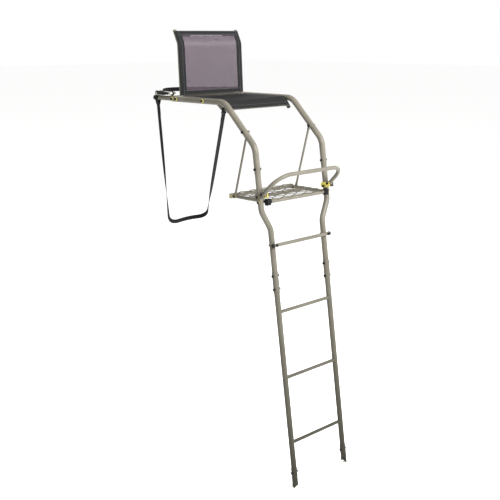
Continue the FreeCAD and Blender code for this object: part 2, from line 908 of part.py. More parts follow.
def makeFoot(side, sign):
    # A steel shoe round the leg's end: open on its inner side and cut to a spike below.
    body = newBody(
        "foot_" + side,
        leaning.multiply(Placement(Vector(sign * sizes["lowerHalfWidth"], 0, 0), Rotation())),
    )
    section = newSketch(body, "XY_Plane", Placement(Vector(0, 0, -10), Rotation()))
    circle(section, "footOuter")
    circle(section, "footInner")
    pad(body, section, sizes["footLength"] + 10)
    # The bottom is cut flat on the ground in the middle and slopes up to both sides.
    flat = 7
    reach = 40
    drop = math.tan(lean)
    spike = newSketch(body, "YZ_Plane")
    outline(
        spike,
        [
            (-reach, -reach),
            (reach, -reach),
            (reach, sizes["footSpikeUp"] + reach * 0.4),
            (flat, flat * drop),
            (-flat, -flat * drop),
            (-reach, sizes["footSpikeUp"] + reach * 0.4),
        ],
    )
    cutThrough(body, spike)
    # The open side faces the other leg.
    slot = newSketch(body, "XZ_Plane")
    low, high = sorted((-sign * 6, -sign * reach))
    outline(slot, [(low, -reach), (high, -reach), (high, 66), (low, 66)])
    cutThrough(body, slot)
    drill(body, "YZ_Plane", [(0, "footBoltUp")])
    return body


both(makeFoot)


# Footrest
def makeFootrest():
    # A U of tube whose two arms swing on the brackets in front of the uprights.
    pivot = Vector(0, sizes["pivotBack"], sizes["footrestPivotUp"])
    along = Vector(0, -sizes["footrestReach"], sizes["footrestRise"])
    turn = Rotation(Vector(0, 1, 0), along)
    body = bentTube(
        "footrest_bar",
        "XY_Plane",
        [
            ("-upperHalfWidth", 0),
            ("-upperHalfWidth", "footrestLength"),
            ("upperHalfWidth", "footrestLength"),
            ("upperHalfWidth", 0),
        ],
        ["footrestRadius", "footrestRadius"],
        "footrestOuter",
        upright.multiply(Placement(pivot, turn)),
    )
    # Solid, rounded eyes close the two ends round the pivot bolts.
    for sign in (-1, 1):
        eye = newSketch(
            body,
            "YZ_Plane",
            Placement(Vector(0, 0, sign * sizes["upperHalfWidth"]), Rotation()),
        )
        circle(eye, "footrestOuter")
        pad(body, eye, "footrestOuter", middle=True)
    drill(body, "YZ_Plane", [(0, 0)], "pivotHole")
    return body


makeFootrest()


def makePivotBracket(side, sign):
    # A plated U of sheet: its back wraps the upright and its cheeks carry the footrest's pivot.
    along = (sizes["pivotAlong"] + crossBolts[1]) / 2
    centre = Vector(sign * sizes["upperHalfWidth"], 0, along)
    body = newBody("pivot_bracket_" + side, leaning.multiply(Placement(centre, Rotation())))
    section = newSketch(body, "XY_Plane")
    inner = sizes["legOuter"] / 2
    outer = inner + sizes["bracketPlate"]
    front = -sizes["pivotBefore"] - sizes["bracketNose"]
    outline(
        section,
        [
            (-outer, front),
            (-inner, front),
            (-inner, inner),
            (inner, inner),
            (inner, front),
            (outer, front),
            (outer, outer),
            (-outer, outer),
        ],
    )
    pad(body, section, "bracketHeight", middle=True)
    holes = [("-pivotBefore", sizes["pivotAlong"] - along), (0, crossBolts[1] - along)]
    drill(body, "YZ_Plane", holes)
    return body


both(makePivotBracket)


def makeStopBlock(side, sign):
    # A moulded block on the front corner of the platform, which takes the front bar's end.
    deep = sizes["stopBlockDeep"]
    tall = sizes["stopBlockTall"]
    corner = sizes["stopBlockCorner"]
    half = blockWide / 2
    across = sign * (blockInside + half)
    spot = Vector(across, sideFront - deep, sizes["platformUp"] - tall / 2)
    body = newBody("stop_block_" + side, upright.multiply(Placement(spot, Rotation())))
    section = newSketch(body, "XY_Plane")
    outline(
        section,
        [
            (corner - half, 0),
            (half - corner, 0),
            (half, corner),
            (half, deep),
            (-half, deep),
            (-half, corner),
        ],
    )
    pad(body, section, tall)
    return body


both(makeStopBlock)


# Fasteners
def hexagon(start, along, tall):
    """A hexagonal prism standing on a point."""
    turn = Rotation(Vector(0, 0, 1), along)
    ring = []
    for corner in range(7):
        angle = math.radians(60 * corner)
        spot = Vector(math.cos(angle), math.sin(angle), 0) * (sizes["hexAcross"] / math.sqrt(3))
        ring.append(turn.multVec(spot) + start)
    face = Part.Face(Part.makePolygon(ring))
    return face.extrude(Vector(along).normalize() * tall)


def placed(shapes, place):
    """The shapes, moved together."""
    for shape in shapes:
        shape.Placement = place.multiply(shape.Placement)
    return shapes


def fastener(start, along, grip, thin, washerOuter):
    """A bolt, its nut and its washers, which lie against both ends of the grip."""
    size = sizes["frameBoltDiameter"]
    nutTall = sizes["nutHeight"]
    hole = sizes["boltHole"]
    far = grip + thin
    shank = tube(size, 0, start - along * thin, along, far + thin + nutTall + 2)
    bolt = shank.fuse(hexagon(start - along * thin, along * -1, sizes["headHeight"]))
    nut = hexagon(start + along * far, along, nutTall)
    nut = nut.cut(tube(size, 0, start + along * far, along, nutTall))
    washers = [
        tube(washerOuter, hole, start - along * thin, along, thin),
        tube(washerOuter, hole, start + along * grip, along, thin),
    ]
    return bolt, nut, washers


def fastenerSpots():
    """Every cross bolt's outer and inner face, how far back and how high."""
    level = sizes["railLevel"]
    wide = sizes["upperHalfWidth"]
    narrow = sizes["lowerHalfWidth"]
    railOut = wide + sizes["railOuter"] / 2
    legOut = sizes["legOuter"] / 2
    chairIn = sizes["chairSide"] - sizes["chairOuter"] / 2
    rodIn = sizes["railInside"] - sizes["rodEyeThick"]
    barIn = sizes["platformHalfWidth"] - bars / 2
    plate = sizes["bracketPlate"]
    sleeve = sizes["sleeveOuter"] / 2
    foot = sizes["footOuter"] / 2
    # Beside the seat, with plated washers
    zincSpots = [
        (railOut, sizes["railInside"], sizes["armBoltBack"], level),
        (railOut, chairIn, sizes["postBoltBack"], level),
        (railOut, chairIn, sizes["seatBoltBack"], level),
    ]
    blackSpots = [
        (railOut, rodIn, sizes["rodTopBack"], sizes["rodTopUp"]),
        (railOut, sizes["railInside"], sizes["jointBack"], sizes["jointUp"]),
        (sizes["railInside"], barIn, sizes["rodFootBack"], sizes["platformUp"]),
    ]
    # In the leaning ladder's own frame
    ladderSpots = [
        (wide + legOut, barIn, 0, crossBolts[0]),
        (wide + legOut + plate, wide - legOut - plate, 0, crossBolts[1]),
        (narrow + sleeve, narrow - sleeve, 0, sleeveBolts[0]),
        (narrow + sleeve, narrow - sleeve, 0, sleeveBolts[1]),
        (narrow + foot, narrow - foot, 0, sizes["footBoltUp"]),
    ]
    leant = Placement(Vector(), leaning.Rotation)
    return [
        ("zinc", Placement(), zincSpots),
        ("black", Placement(), blackSpots),
        ("black", leant, ladderSpots),
    ]


def makeFasteners():
    bolts, nuts = [], []
    rings = {"zinc": [], "black": []}
    for finish, place, spots in fastenerSpots():
        thin = sizes["washerThick"]
        ring = sizes[finish + "WasherOuter"]
        for outer, inner, back, up in spots:
            for sign in (-1, 1):
                start = Vector(sign * outer, back, up)
                grip = outer - inner
                bolt, nut, washers = fastener(start, Vector(-sign, 0, 0), grip, thin, ring)
                bolts += placed([bolt], place)
                nuts += placed([nut], place)
                rings[finish] += placed(washers, place)
    # The top rung is bolted to the front of the uprights, on thin washers.
    leant = Placement(Vector(), leaning.Rotation)
    for sign in (-1, 1):
        front = topRungForward - sizes["rungOuter"] / 2
        start = Vector(sign * sizes["lowerHalfWidth"], front, sizes["topRungAlong"])
        grip = sizes["legOuter"] / 2 - front
        ring = sizes["blackWasherOuter"]
        bolt, nut, washers = fastener(start, Vector(0, 1, 0), grip, 0.5, ring)
        bolts += placed([bolt], leant)
        nuts += placed([nut], leant)
        rings["black"] += placed(washers, leant)
    solids("frame_bolts", bolts)
    solids("frame_nuts", nuts)
    for finish, washers in rings.items():
        solids(finish + "_washers", washers)


makeFasteners()


def makePivotBolts():
    # The bolts that the footrest turns on, with a spacer each side of its eyes.
    plate = sizes["bracketPlate"]
    half = sizes["legOuter"] / 2
    eye = sizes["footrestOuter"] / 2
    play = 0.3
    bolts = []
    spacers = []
    for sign in (-1, 1):
        across = sign * sizes["upperHalfWidth"]
        spot = Vector(across, -sizes["pivotBefore"], sizes["pivotAlong"])
        out = Vector(sign, 0, 0)
        start = spot - out * (half + plate + 8)
        shank = tube(sizes["pivotBoltDiameter"], 0, start, out, 2 * (half + plate) + 8)
        head = hexagon(spot + out * (half + plate), out, sizes["headHeight"])
        nut = hexagon(spot - out * (half + plate), out * -1, sizes["nutHeight"])
        bolts.append(shank.fuse([head, nut]))
        for end in (-1, 1):
            near = spot + out * (end * (eye + play))
            hole = sizes["pivotBoltDiameter"]
            spacers.append(tube(14, hole, near, out * end, half - eye - play))
    # Short tubes also hold the platform off the uprights.
    near = sizes["platformHalfWidth"] + sizes["platformBarOuter"] / 2
    long = sizes["upperHalfWidth"] - sizes["legOuter"] / 2 - near
    for sign in (-1, 1):
        start = Vector(sign * near, 0, crossBolts[0])
        spacers.append(
            tube(sizes["spacerOuter"], sizes["boltHole"], start, Vector(sign, 0, 0), long)
        )
    solids("pivot_bolts", bolts).Placement = leaning
    solids("spacers", spacers).Placement = leaning


makePivotBolts()


# Straps
leftX = -sizes["upperHalfWidth"]
armTop = sizes["railLevel"] + sizes["armOuter"] / 2
armUnder = sizes["railLevel"] - sizes["armOuter"] / 2


def makeFrontTab():
    # The tab under the left rail that the stabiliser strap hangs from.
    place = Placement(Vector(leftX, 0, 0), Rotation())
    body = newBody("strap_tab", upright.multiply(place))
    face = newSketch(body, "YZ_Plane")
    under = sizes["railLevel"] - sizes["railOuter"] / 2
    back = sizes["slopeTopBack"] + sizes["tabAhead"]
    hang = sizes["tabHang"]
    eyeDown = sizes["tabEyeDown"]
    # It starts behind the rail's bend and curves forward to its eye.
    corners = [
        (back + 24, under),
        (back + 52, under),
        (back + 12, under - hang + 1),
        (back - 2, under - hang),
        (back - 10, under - hang + 9),
        (back - 7, under - hang + 19),
        (back + 4, under - hang + 22),
    ]
    outline(face, corners)
    pad(body, face, "tabThick", middle=True)
    drill(body, "YZ_Plane", [(back, under - eyeDown)], sizes["hookPin"] + 0.4)
    return back, under - eyeDown


tabBack, tabUp = makeFrontTab()


def makeFrontHook():
    # A small forged hook: a pin through the tab's eye, cheeks round the tab and a neck below.
    place = Placement(Vector(leftX, tabBack, tabUp), Rotation())
    body = newBody("front_strap_hook", upright.multiply(place))
    hang = sizes["hookHang"]
    half = 7
    neck = 4
    shoulder = 0.55 * hang
    face = newSketch(body, "YZ_Plane")
    corners = [
        (-half, half),
        (half, half),
        (half, -shoulder),
        (neck, -hang),
        (-neck, -hang),
        (-half, -shoulder),
    ]
    outline(face, corners)
    pad(body, face, "hookWide", middle=True)
    slot = newSketch(body, "XZ_Plane")
    slotHalf = sizes["tabThick"] / 2 + 0.3
    floor = sizes["tabHang"] - sizes["tabEyeDown"] + 0.5
    outline(slot, [(-slotHalf, -floor), (slotHalf, -floor), (slotHalf, 20), (-slotHalf, 20)])
    cutThrough(body, slot)
    pin = newSketch(body, "YZ_Plane")
    circle(pin, "hookPin")
    pad(body, pin, sizes["hookWide"] + 4, middle=True)


def makeRearLoop():
    # The sewn loop that holds the strap's other end under the left tree arm.
    place = Placement(Vector(leftX, loopBack, armUnder), Rotation())
    body = newBody("rear_strap_loop", upright.multiply(place))
    hang = sizes["loopHang"]
    face = newSketch(body, "YZ_Plane")
    outline(face, [(-15, 0), (15, 0), (6, -hang), (-6, -hang)])
    pad(body, face, "loopWide", middle=True)


loopBack = sizes["armEndBack"] - 27
makeFrontHook()
makeRearLoop()


def rounded(spots, radii):
    """Straight runs through points with a tangent arc at each inner one."""
    edges = []
    turns = []
    start = Vector(*spots[0])
    for i in range(1, len(spots) - 1):
        here = Vector(*spots[i])
        back = (Vector(*spots[i - 1]) - here).normalize()
        ahead = (Vector(*spots[i + 1]) - here).normalize()
        half = back.getAngle(ahead) / 2
        radius = radii[i - 1]
        entry = here + back * (radius / math.tan(half))
        leave = here + ahead * (radius / math.tan(half))
        centre = here + (back + ahead).normalize() * (radius / math.sin(half))
        halfway = centre + (here - centre).normalize() * radius
        if (entry - start).Length > 0.01:
            edges.append(Part.LineSegment(start, entry).toShape())
        edges.append(Part.Arc(entry, halfway, leave).toShape())
        turns.append((radius, round(180 - 2 * math.degrees(half), 1)))
        start = leave
    edges.append(Part.LineSegment(start, Vector(*spots[-1])).toShape())
    return Part.Wire(edges), turns


def strap(label, spots, radii):
    """A tight strap's plain tube, with the section of the webbing itself."""
    path, turns = rounded(spots, radii)
    heading = Vector(*spots[1]) - Vector(*spots[0])
    ring = Part.makeCircle(sizes["strapThick"] / 2, Vector(*spots[0]), heading)
    body = path.makePipeShell([Part.Wire([ring])], True, False)
    swept = math.pi * sizes["strapThick"] ** 2 / 4 * path.Length
    print(label, "radius and turn", turns)
    print(label, "length", round(path.Length, 1), "volume ratio", round(body.Volume / swept, 4))
    return solids(label, [body])


# The stabiliser strap runs from the front hook round the back of the tree to the rear loop.
treeRadius = 120
endBack = sizes["armEndBack"]
level = sizes["railLevel"]
stabiliserRoute = [
    (leftX, tabBack, tabUp - 21.5),
    (144.5, endBack + 17, level - 770),
    (98, endBack + 145, level - 796),
    (-34, endBack + 179, level - 822),
    (leftX, loopBack, armUnder - sizes["loopHang"] - 2),
]
strap("stabiliser_strap", stabiliserRoute, [treeRadius, treeRadius, treeRadius / 2])
# The tree strap runs level from the ratchet round the back of the tree to the right arm.
strapLevel = armTop + sizes["axleUp"]
treeStrapRoute = [
    (leftX, endBack - 24, strapLevel),
    (-47, endBack + 166, strapLevel),
    (44, endBack + 166, strapLevel),
    (-leftX, endBack - 8.5, strapLevel),
]
strap("tree_strap", treeStrapRoute, [treeRadius + 9, treeRadius + 9])


# Ratchet on the left tree arm
ratchetPlace = Placement(Vector(leftX, endBack - 50, armTop), Rotation())
axleBack, axleUp = sizes["axleBack"], sizes["axleUp"]
ratchetHalf = sizes["ratchetWide"] / 2


def makeRatchetFrame():
    # A U of plate on the arm, lower at its front where the handle folds down.
    frame = newBody("ratchet_frame", upright.multiply(ratchetPlace))
    section = newSketch(frame, "XZ_Plane")
    plate = sizes["ratchetPlate"]
    tall = sizes["ratchetTall"]
    inside = ratchetHalf - plate
    corners = [
        (-ratchetHalf, 0),
        (ratchetHalf, 0),
        (ratchetHalf, tall),
        (inside, tall),
        (inside, plate),
        (-inside, plate),
        (-inside, tall),
        (-ratchetHalf, tall),
    ]
    outline(section, corners)
    pad(frame, section, "ratchetLong", middle=True)
    trim = newSketch(frame, "YZ_Plane")
    outline(trim, [(-45, 10), (-12, tall + 1), (-12, 2 * tall), (-45, 2 * tall)])
    cutThrough(frame, trim)
    drill(frame, "YZ_Plane", [(axleBack, axleUp)], "axleHole")


def makeSpool():
    drum = newBody("ratchet_spool", upright.multiply(ratchetPlace))
    face = newSketch(drum, "YZ_Plane")
    circle(face, "spoolOuter", axleBack, axleUp)
    pad(drum, face, 2 * (ratchetHalf - sizes["ratchetPlate"]) - 0.6, middle=True)
    ends = newSketch(drum, "YZ_Plane")
    circle(ends, "axleOuter", axleBack, axleUp)
    pad(drum, ends, sizes["ratchetWide"] + 14, middle=True)


def makeHandle():
    # Two arms outside the frame, joined by a grip in front of it.
    handle = newBody("ratchet_handle", upright.multiply(ratchetPlace))
    gripBack, gripFront = -92, -118
    side = [
        (axleBack - 8, axleUp - 8),
        (axleBack + 8, axleUp - 8),
        (axleBack + 10, axleUp + 2),
        (axleBack + 6, axleUp + 10),
        (axleBack - 8, axleUp + 14),
        (gripBack, axleUp + 12),
        (gripFront, axleUp + 10),
        (gripFront, axleUp - 9),
        (gripBack, axleUp - 5),
    ]
    arms = newSketch(handle, "YZ_Plane")
    outline(arms, side)
    pad(handle, arms, sizes["ratchetWide"] + 8, middle=True)
    gap = newSketch(handle, "XY_Plane")
    inner = ratchetHalf + 1
    outline(gap, [(-inner, gripBack - 4), (inner, gripBack - 4), (inner, 40), (-inner, 40)])
    cutThrough(handle, gap)
    drill(handle, "YZ_Plane", [(axleBack, axleUp)], "axleHole")


makeRatchetFrame()
makeSpool()
makeHandle()


def makeAnchor():
    # The hook on the right tree arm that takes the tree strap's other end.
    place = Placement(Vector(-leftX, endBack - 20, armTop), Rotation())
    body = newBody("tree_strap_anchor", upright.multiply(place))
    face = newSketch(body, "YZ_Plane")
    outline(face, [(-22, 0), (8, 0), (8, 18), (2, 24), (-10, 24), (-22, 8)])
    pad(body, face, "anchorWide", middle=True)


makeAnchor()

# Check and write
doc.recompute()
for thing in doc.Objects:
    if {"Invalid", "Error"} & set(thing.State):
        raise RuntimeError("%s failed: %s" % (thing.Label, thing.State))
for piece in pieces:
    if piece.Shape.isNull() or not piece.Shape.isValid() or not piece.Shape.Solids:
        raise RuntimeError(piece.Label + " has no sound solid")
for piece in pieces:
    piece.Shape.exportStep(os.path.join("parts", piece.Label + ".step"))
print(len(pieces), "pieces")
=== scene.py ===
# Ladder tree stand: materials, fabric, straps and fittings over the CAD frame. Metres, +Z up.
import json
import math

import bmesh
import bpy
from mathutils import Matrix, Vector

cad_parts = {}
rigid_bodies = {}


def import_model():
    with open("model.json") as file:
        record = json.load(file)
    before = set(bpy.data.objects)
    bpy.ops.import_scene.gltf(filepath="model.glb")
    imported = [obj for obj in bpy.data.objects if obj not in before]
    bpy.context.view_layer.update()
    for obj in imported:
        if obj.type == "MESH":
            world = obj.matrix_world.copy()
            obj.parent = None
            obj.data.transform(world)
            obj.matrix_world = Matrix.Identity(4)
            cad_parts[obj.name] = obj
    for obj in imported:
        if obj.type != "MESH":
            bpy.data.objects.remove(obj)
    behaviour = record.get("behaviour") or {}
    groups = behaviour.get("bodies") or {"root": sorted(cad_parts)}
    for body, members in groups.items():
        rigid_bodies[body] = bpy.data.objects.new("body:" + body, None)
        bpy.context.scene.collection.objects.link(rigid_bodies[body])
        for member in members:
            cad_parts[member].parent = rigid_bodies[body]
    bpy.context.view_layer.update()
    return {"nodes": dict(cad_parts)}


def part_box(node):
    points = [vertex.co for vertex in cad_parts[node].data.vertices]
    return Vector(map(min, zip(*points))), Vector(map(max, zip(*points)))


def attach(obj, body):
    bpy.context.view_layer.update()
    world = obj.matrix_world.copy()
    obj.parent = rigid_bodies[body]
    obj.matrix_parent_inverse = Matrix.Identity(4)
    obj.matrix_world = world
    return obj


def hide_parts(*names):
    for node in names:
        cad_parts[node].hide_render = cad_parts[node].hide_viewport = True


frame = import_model()
mm = 0.001
scene = bpy.context.scene.collection.objects


# Places that several pieces share, read from the frame
def low(node):
    return Vector(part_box(node)[0])


def high(node):
    return Vector(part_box(node)[1])


def middle(node):
    return (low(node) + high(node)) / 2


leftX = middle("tree_arm_left").x
armLevel = middle("tree_arm_left").z
armRadius = (high("tree_arm_left").z - low("tree_arm_left").z) / 2
feetBack = high("tree_arm_left").y - 1.105  # the line between the two feet
seatSide = abs(middle("backrest_post_left").x)
chairRadius = (high("backrest_post_left").x - low("backrest_post_left").x) / 2


# Camera, light and floor
view = {
    "position": (-3.690, feetBack - 3.152, 2.488),
    "heading": 44.66,  # degrees to the right of +Y
    "down": 13.39,
    "lens": 65.58,
}
light = {
    "sky": 1.0,
    "key": ((-0.4, -5.4, 5.0), 2.2, 1150),
    "side": ((4.2, -1.6, 3.0), 2.4, 90),
    "back": ((1.5, 4.5, 4.2), 2.5, 60),
}


def makeCamera():
    camera = bpy.data.objects.new("camera", bpy.data.cameras.new("camera"))
    scene.link(camera)
    camera.data.lens = view["lens"]
    camera.data.sensor_width = 36
    camera.location = view["position"]
    camera.rotation_euler = (math.radians(90 - view["down"]), 0, math.radians(-view["heading"]))
    bpy.context.scene.camera = camera


def makeLights():
    world = bpy.data.worlds.new("studio")
    world.use_nodes = True
    sky = world.node_tree.nodes["Background"]
    sky.inputs["Color"].default_value = (1, 1, 1, 1)
    sky.inputs["Strength"].default_value = light["sky"]
    bpy.context.scene.world = world
    bpy.context.scene.view_settings.view_transform = "Standard"
    for name in ("key", "side", "back"):
        place, size, power = light[name]
        lamp = bpy.data.objects.new(name, bpy.data.lights.new(name, "AREA"))
        scene.link(lamp)
        lamp.data.size = size
        lamp.data.energy = power
        lamp.location = place
        aim = Vector((0, 0, 1.3)) - Vector(place)
        lamp.rotation_euler = aim.to_track_quat("-Z", "Y").to_euler()


def makeFloor():
    half = 60
    corners = [(-half, -half, 0), (half, -half, 0), (half, half, 0), (-half, half, 0)]
    addPiece("floor", corners, [(0, 1, 2, 3)], paperFloor)


# Materials: each starts as an empty tree and a Principled shader
def linear(hexColour):
    # sRGB hex to the linear colour that a shader wants
    parts = [int(hexColour[i:i + 2], 16) / 255 for i in (1, 3, 5)]
    parts = [p / 12.92 if p <= 0.04045 else ((p + 0.055) / 1.055) ** 2.4 for p in parts]
    return (*parts, 1)


def addNode(tree, kind, inputs=None, **settings):
    node = tree.nodes.new(kind)
    for name, setting in settings.items():
        setattr(node, name, setting)
    for name, source in (inputs or {}).items():
        if isinstance(source, bpy.types.NodeSocket):
            tree.links.new(source, node.inputs[name])
        else:
            node.inputs[name].default_value = source
    return node


def newMaterial(name):
    material = bpy.data.materials.new(name)
    material.use_nodes = True
    tree = material.node_tree
    tree.nodes.clear()
    return material, tree


def surface(tree, inputs):
    shader = addNode(tree, "ShaderNodeBsdfPrincipled", inputs)
    addNode(tree, "ShaderNodeOutputMaterial", {"Surface": shader.outputs["BSDF"]})


def objectPlace(tree):
    return addNode(tree, "ShaderNodeTexCoord").outputs["Object"]


def noise(tree, place, size, detail, output="Fac"):
    # Clouds or grain whose features have a real size
    inputs = {"Vector": place, "Scale": 1 / size, "Detail": detail}
    return addNode(tree, "ShaderNodeTexNoise", inputs).outputs[output]


def colourRamp(tree, factor, first, second, start=0, end=1):
    ramp = addNode(tree, "ShaderNodeValToRGB", {"Fac": factor})
    for element, at, colour in zip(ramp.color_ramp.elements, (start, end), (first, second)):
        element.position = at
        element.color = linear(colour)
    return ramp.outputs["Color"]


def ranged(tree, factor, least, most):
    inputs = {"Value": factor, "To Min": least, "To Max": most}
    return addNode(tree, "ShaderNodeMapRange", inputs).outputs["Result"]


def mixed(tree, factor, first, second, **settings):
    inputs = {"Factor": factor, 6: first, 7: second}
    return addNode(tree, "ShaderNodeMix", inputs, data_type="RGBA", **settings).outputs[2]


def product(tree, first, second):
    return addNode(tree, "ShaderNodeMath", {0: first, 1: second}, operation="MULTIPLY").outputs[0]


def bump(tree, height, strength, deep=0.2 * mm):
    inputs = {"Height": height, "Strength": strength, "Distance": deep}
    return addNode(tree, "ShaderNodeBump", inputs).outputs["Normal"]


def powderCoat(name, main, dusty, dark):
    # Powder coat, sprayed and baked: semi-gloss, a fine orange-peel skin, patchy where it is handled
    material, tree = newMaterial(name)
    place = objectPlace(tree)
    clouds = noise(tree, place, 90 * mm, 5)
    specks = noise(tree, place, 2.5 * mm, 2, "Color")
    # The coat is a little darker and browner towards the ground
    axes = addNode(tree, "ShaderNodeSeparateXYZ", {"Vector": place})
    heights = {"Value": axes.outputs["Z"], "From Min": 0.05, "From Max": 1.6, "To Min": 0.95, "To Max": 0}
    fall = addNode(tree, "ShaderNodeMapRange", heights).outputs["Result"]
    coat = colourRamp(tree, clouds, main, dusty, 0.34, 0.72)
    lowDarkened = mixed(tree, fall, coat, linear(dark))
    surface(tree, {
        "Base Color": mixed(tree, 0.14, lowDarkened, specks, blend_type="SOFT_LIGHT"),
        "Roughness": ranged(tree, clouds, 0.34, 0.5),
        "Specular IOR Level": 0.2,
        "Normal": bump(tree, noise(tree, place, 1.6 * mm, 1), 0.12),
    })
    return material


def plated(name, pale, dark, metallic, rough):
    # Zinc plate: pale metal with cloudy patches
    material, tree = newMaterial(name)
    clouds = noise(tree, objectPlace(tree), 6 * mm, 4)
    surface(tree, {
        "Base Color": colourRamp(tree, clouds, dark, pale, 0.35, 0.65),
        "Metallic": metallic,
        "Roughness": ranged(tree, clouds, rough - 0.08, rough + 0.12),
    })
    return material


def moulded(name, main, worn, rough, grain):
    # Moulded or oxide-black surfaces: nearly black, fine grain, dusty grey where rubbed
    material, tree = newMaterial(name)
    place = objectPlace(tree)
    surface(tree, {
        "Base Color": colourRamp(tree, noise(tree, place, 14 * mm, 6), main, worn, 0.45, 0.8),
        "Roughness": rough,
        "Specular IOR Level": 0.16,
        "Normal": bump(tree, noise(tree, place, grain, 2), 0.25),
    })
    return material


def wovenCloth(name, main, pale, thread):
    # Plain-woven coated polyester: near black, with a dull sheen painted on the crossing yarns as a
    # lighter colour.
    # The UV map is in metres, u across and v along. The thread is drawn coarser than the real
    # 1 mm yarn so that it still shows.
    material, tree = newMaterial(name)
    place = addNode(tree, "ShaderNodeUVMap", uv_map="cloth").outputs["UV"]
    inputs = {"Vector": place, "Scale": 1 / thread / 20 * math.pi, "Distortion": 0.6, "Detail": 1.0}
    waves = [addNode(tree, "ShaderNodeTexWave", inputs, bands_direction=way) for way in ("X", "Y")]
    yarn = product(tree, waves[0].outputs["Fac"], waves[1].outputs["Fac"])
    # Painted sheen: the yarn crossings get the lighter colour, varied by a faint random tint
    shade = product(tree, yarn, noise(tree, place, 60 * mm, 6))
    surface(tree, {
        "Base Color": colourRamp(tree, shade, main, pale, 0.05, 0.5),
        "Roughness": 0.78,
        "Specular IOR Level": 0.16,
        "Normal": bump(tree, yarn, 0.4, 0.4 * mm),
    })
    return material


def mottled(name, first, second, size, detail, inputs):
    # One even surface with a faint change of tint
    material, tree = newMaterial(name)
    tint = noise(tree, objectPlace(tree), size, detail)
    surface(tree, {"Base Color": colourRamp(tree, tint, first, second), **inputs})
    return material


def sewingThread(name, dark, pale):
    # Bonded polyester sewing thread: twisted, with painted highlights and painted shade alternating along
    # it
    material, tree = newMaterial(name)
    inputs = {"Vector": objectPlace(tree), "Scale": 1 / (3 * mm), "Distortion": 1.0}
    twistShading = addNode(tree, "ShaderNodeTexWave", inputs, bands_direction="DIAGONAL").outputs["Fac"]
    surface(tree, {"Base Color": colourRamp(tree, twistShading, dark, pale), "Roughness": 0.55})
    return material


taupeCoat = powderCoat("taupePowderCoat", "#524f46", "#5e5a50", "#171509")
# The deck has the taupe coat made darker: painted shade for the shade under and between its strands
deckShadedCoat = powderCoat("deckShadedPowderCoat", "#3b382f", "#474338", "#171509")
zincPlate = plated("yellowZincPlate", "#f1e678", "#c3b04c", 0.6, 0.42)
brightZinc = plated("clearZincPlate", "#c9c8bf", "#8f8d84", 1.0, 0.3)
dullZinc = plated("dullZincPlate", "#a39d7c", "#6f6a55", 1.0, 0.45)
blackOxide = moulded("blackOxideSteel", "#080808", "#23221e", 0.42, 0.8 * mm)
blackPlastic = moulded("mouldedPolypropylene", "#070708", "#1b1b1c", 0.5, 1.2 * mm)
# The second colour of each cloth is the painted sheen on its yarns
slingCloth = wovenCloth("wovenPolyesterSling", "#0b0b0c", "#141415", 3.0 * mm)
strapCloth = wovenCloth("polyesterWebbing", "#070708", "#131314", 2.0 * mm)
matt = {"Roughness": 0.9, "Specular IOR Level": 0.1}
paperFloor = mottled("studioPaper", "#fbfbfb", "#fdfdfc", 2 / 3, 2, matt)
softShine = {"Roughness": 0.5, "IOR": 1.5}
mauveYarn = mottled("coatedMeshYarn", "#32212e", "#3e2a39", 25 * mm, 3, softShine)
# The thread's two greys are painted shade and painted highlight on one grey thread
seamThread = sewingThread("bondedThread", "#3a3a3c", "#5a5a5c")

finishes = {
    "pairs in taupe": (
        taupeCoat,
        "rail tree_arm seat_tube backrest_post brace_rod platform_side middle_upright lower_leg "
        "ladder_sleeve foot",
    ),
    "taupe": (
        taupeCoat,
        "tree_crossbar tree_blade seat_front_bar seat_rear_bar backrest_top_bar platform_rear_bar "
        "platform_middle_bar platform_front_bar bottom_rung second_rung third_rung top_rung "
        "footrest_bar strap_tab",
    ),
    "zinc": (zincPlate, "zinc_washers"),
    "dull zinc": (dullZinc, "platform_corner_clips"),
    "black": (blackOxide, "frame_bolts frame_nuts pivot_bolts spacers"),
}


def finishFrame():
    # Every CAD piece that is seen gets the finish of the real one
    for label, (material, names) in finishes.items():
        ends = ("_left", "_right") if label.startswith("pairs") else ("",)
        for name in names.split():
            for end in ends:
                piece = frame["nodes"][name + end]
                piece.data.materials.clear()
                piece.data.materials.append(material)


def twoTone(node, first, second, isSecond):
    # A piece with two finishes, told apart by where each face lies
    mesh = frame["nodes"][node].data
    mesh.materials.clear()
    mesh.materials.append(first)
    mesh.materials.append(second)
    for polygon in mesh.polygons:
        polygon.material_index = 1 if isSecond(polygon.center) else 0


def finishBrackets():
    # The brackets are plated, and painted over with the uprights on their outer side
    for node in ("pivot_bracket_left", "pivot_bracket_right"):
        twoTone(node, zincPlate, taupeCoat, lambda spot: abs(spot.x) > abs(leftX) - 8 * mm)
    # The washers beside the platform and the brackets are plated, the others black
    bottom = low("platform_side_left").z - 10 * mm
    top = high("pivot_bracket_left").z
    twoTone("black_washers", blackOxide, zincPlate, lambda spot: bottom < spot.z < top)


# Small mesh helpers
def addPiece(name, verts, faces, material, uvs=None):
    mesh = bpy.data.meshes.new(name)
    mesh.from_pydata([tuple(v) for v in verts], [], faces)
    if uvs:
        layer = mesh.uv_layers.new(name="cloth")
        for loop in mesh.loops:
            layer.data[loop.index].uv = uvs[loop.vertex_index]
    mesh.validate()
    mesh.materials.append(material)
    for polygon in mesh.polygons:
        polygon.use_smooth = True
    piece = bpy.data.objects.new(name, mesh)
    scene.link(piece)
    return piece


def settle(piece, body, node=None):
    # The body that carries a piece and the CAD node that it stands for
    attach(piece, body)
    if node:
        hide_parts(node)


def plainMesh(piece):
    graph = bpy.context.evaluated_depsgraph_get()
    return bpy.data.meshes.new_from_object(piece.evaluated_get(graph))


def applyModifiers(piece):
    # Keeps what the modifiers made, as a plain mesh
    solid = plainMesh(piece)
    piece.modifiers.clear()
    piece.data = solid


def outward(piece):
    shell = bmesh.new()
    shell.from_mesh(piece.data)
    bmesh.ops.remove_doubles(shell, verts=shell.verts, dist=0.00001)
    bmesh.ops.recalc_face_normals(shell, faces=shell.faces)
    shell.to_mesh(piece.data)
    shell.free()
    return piece


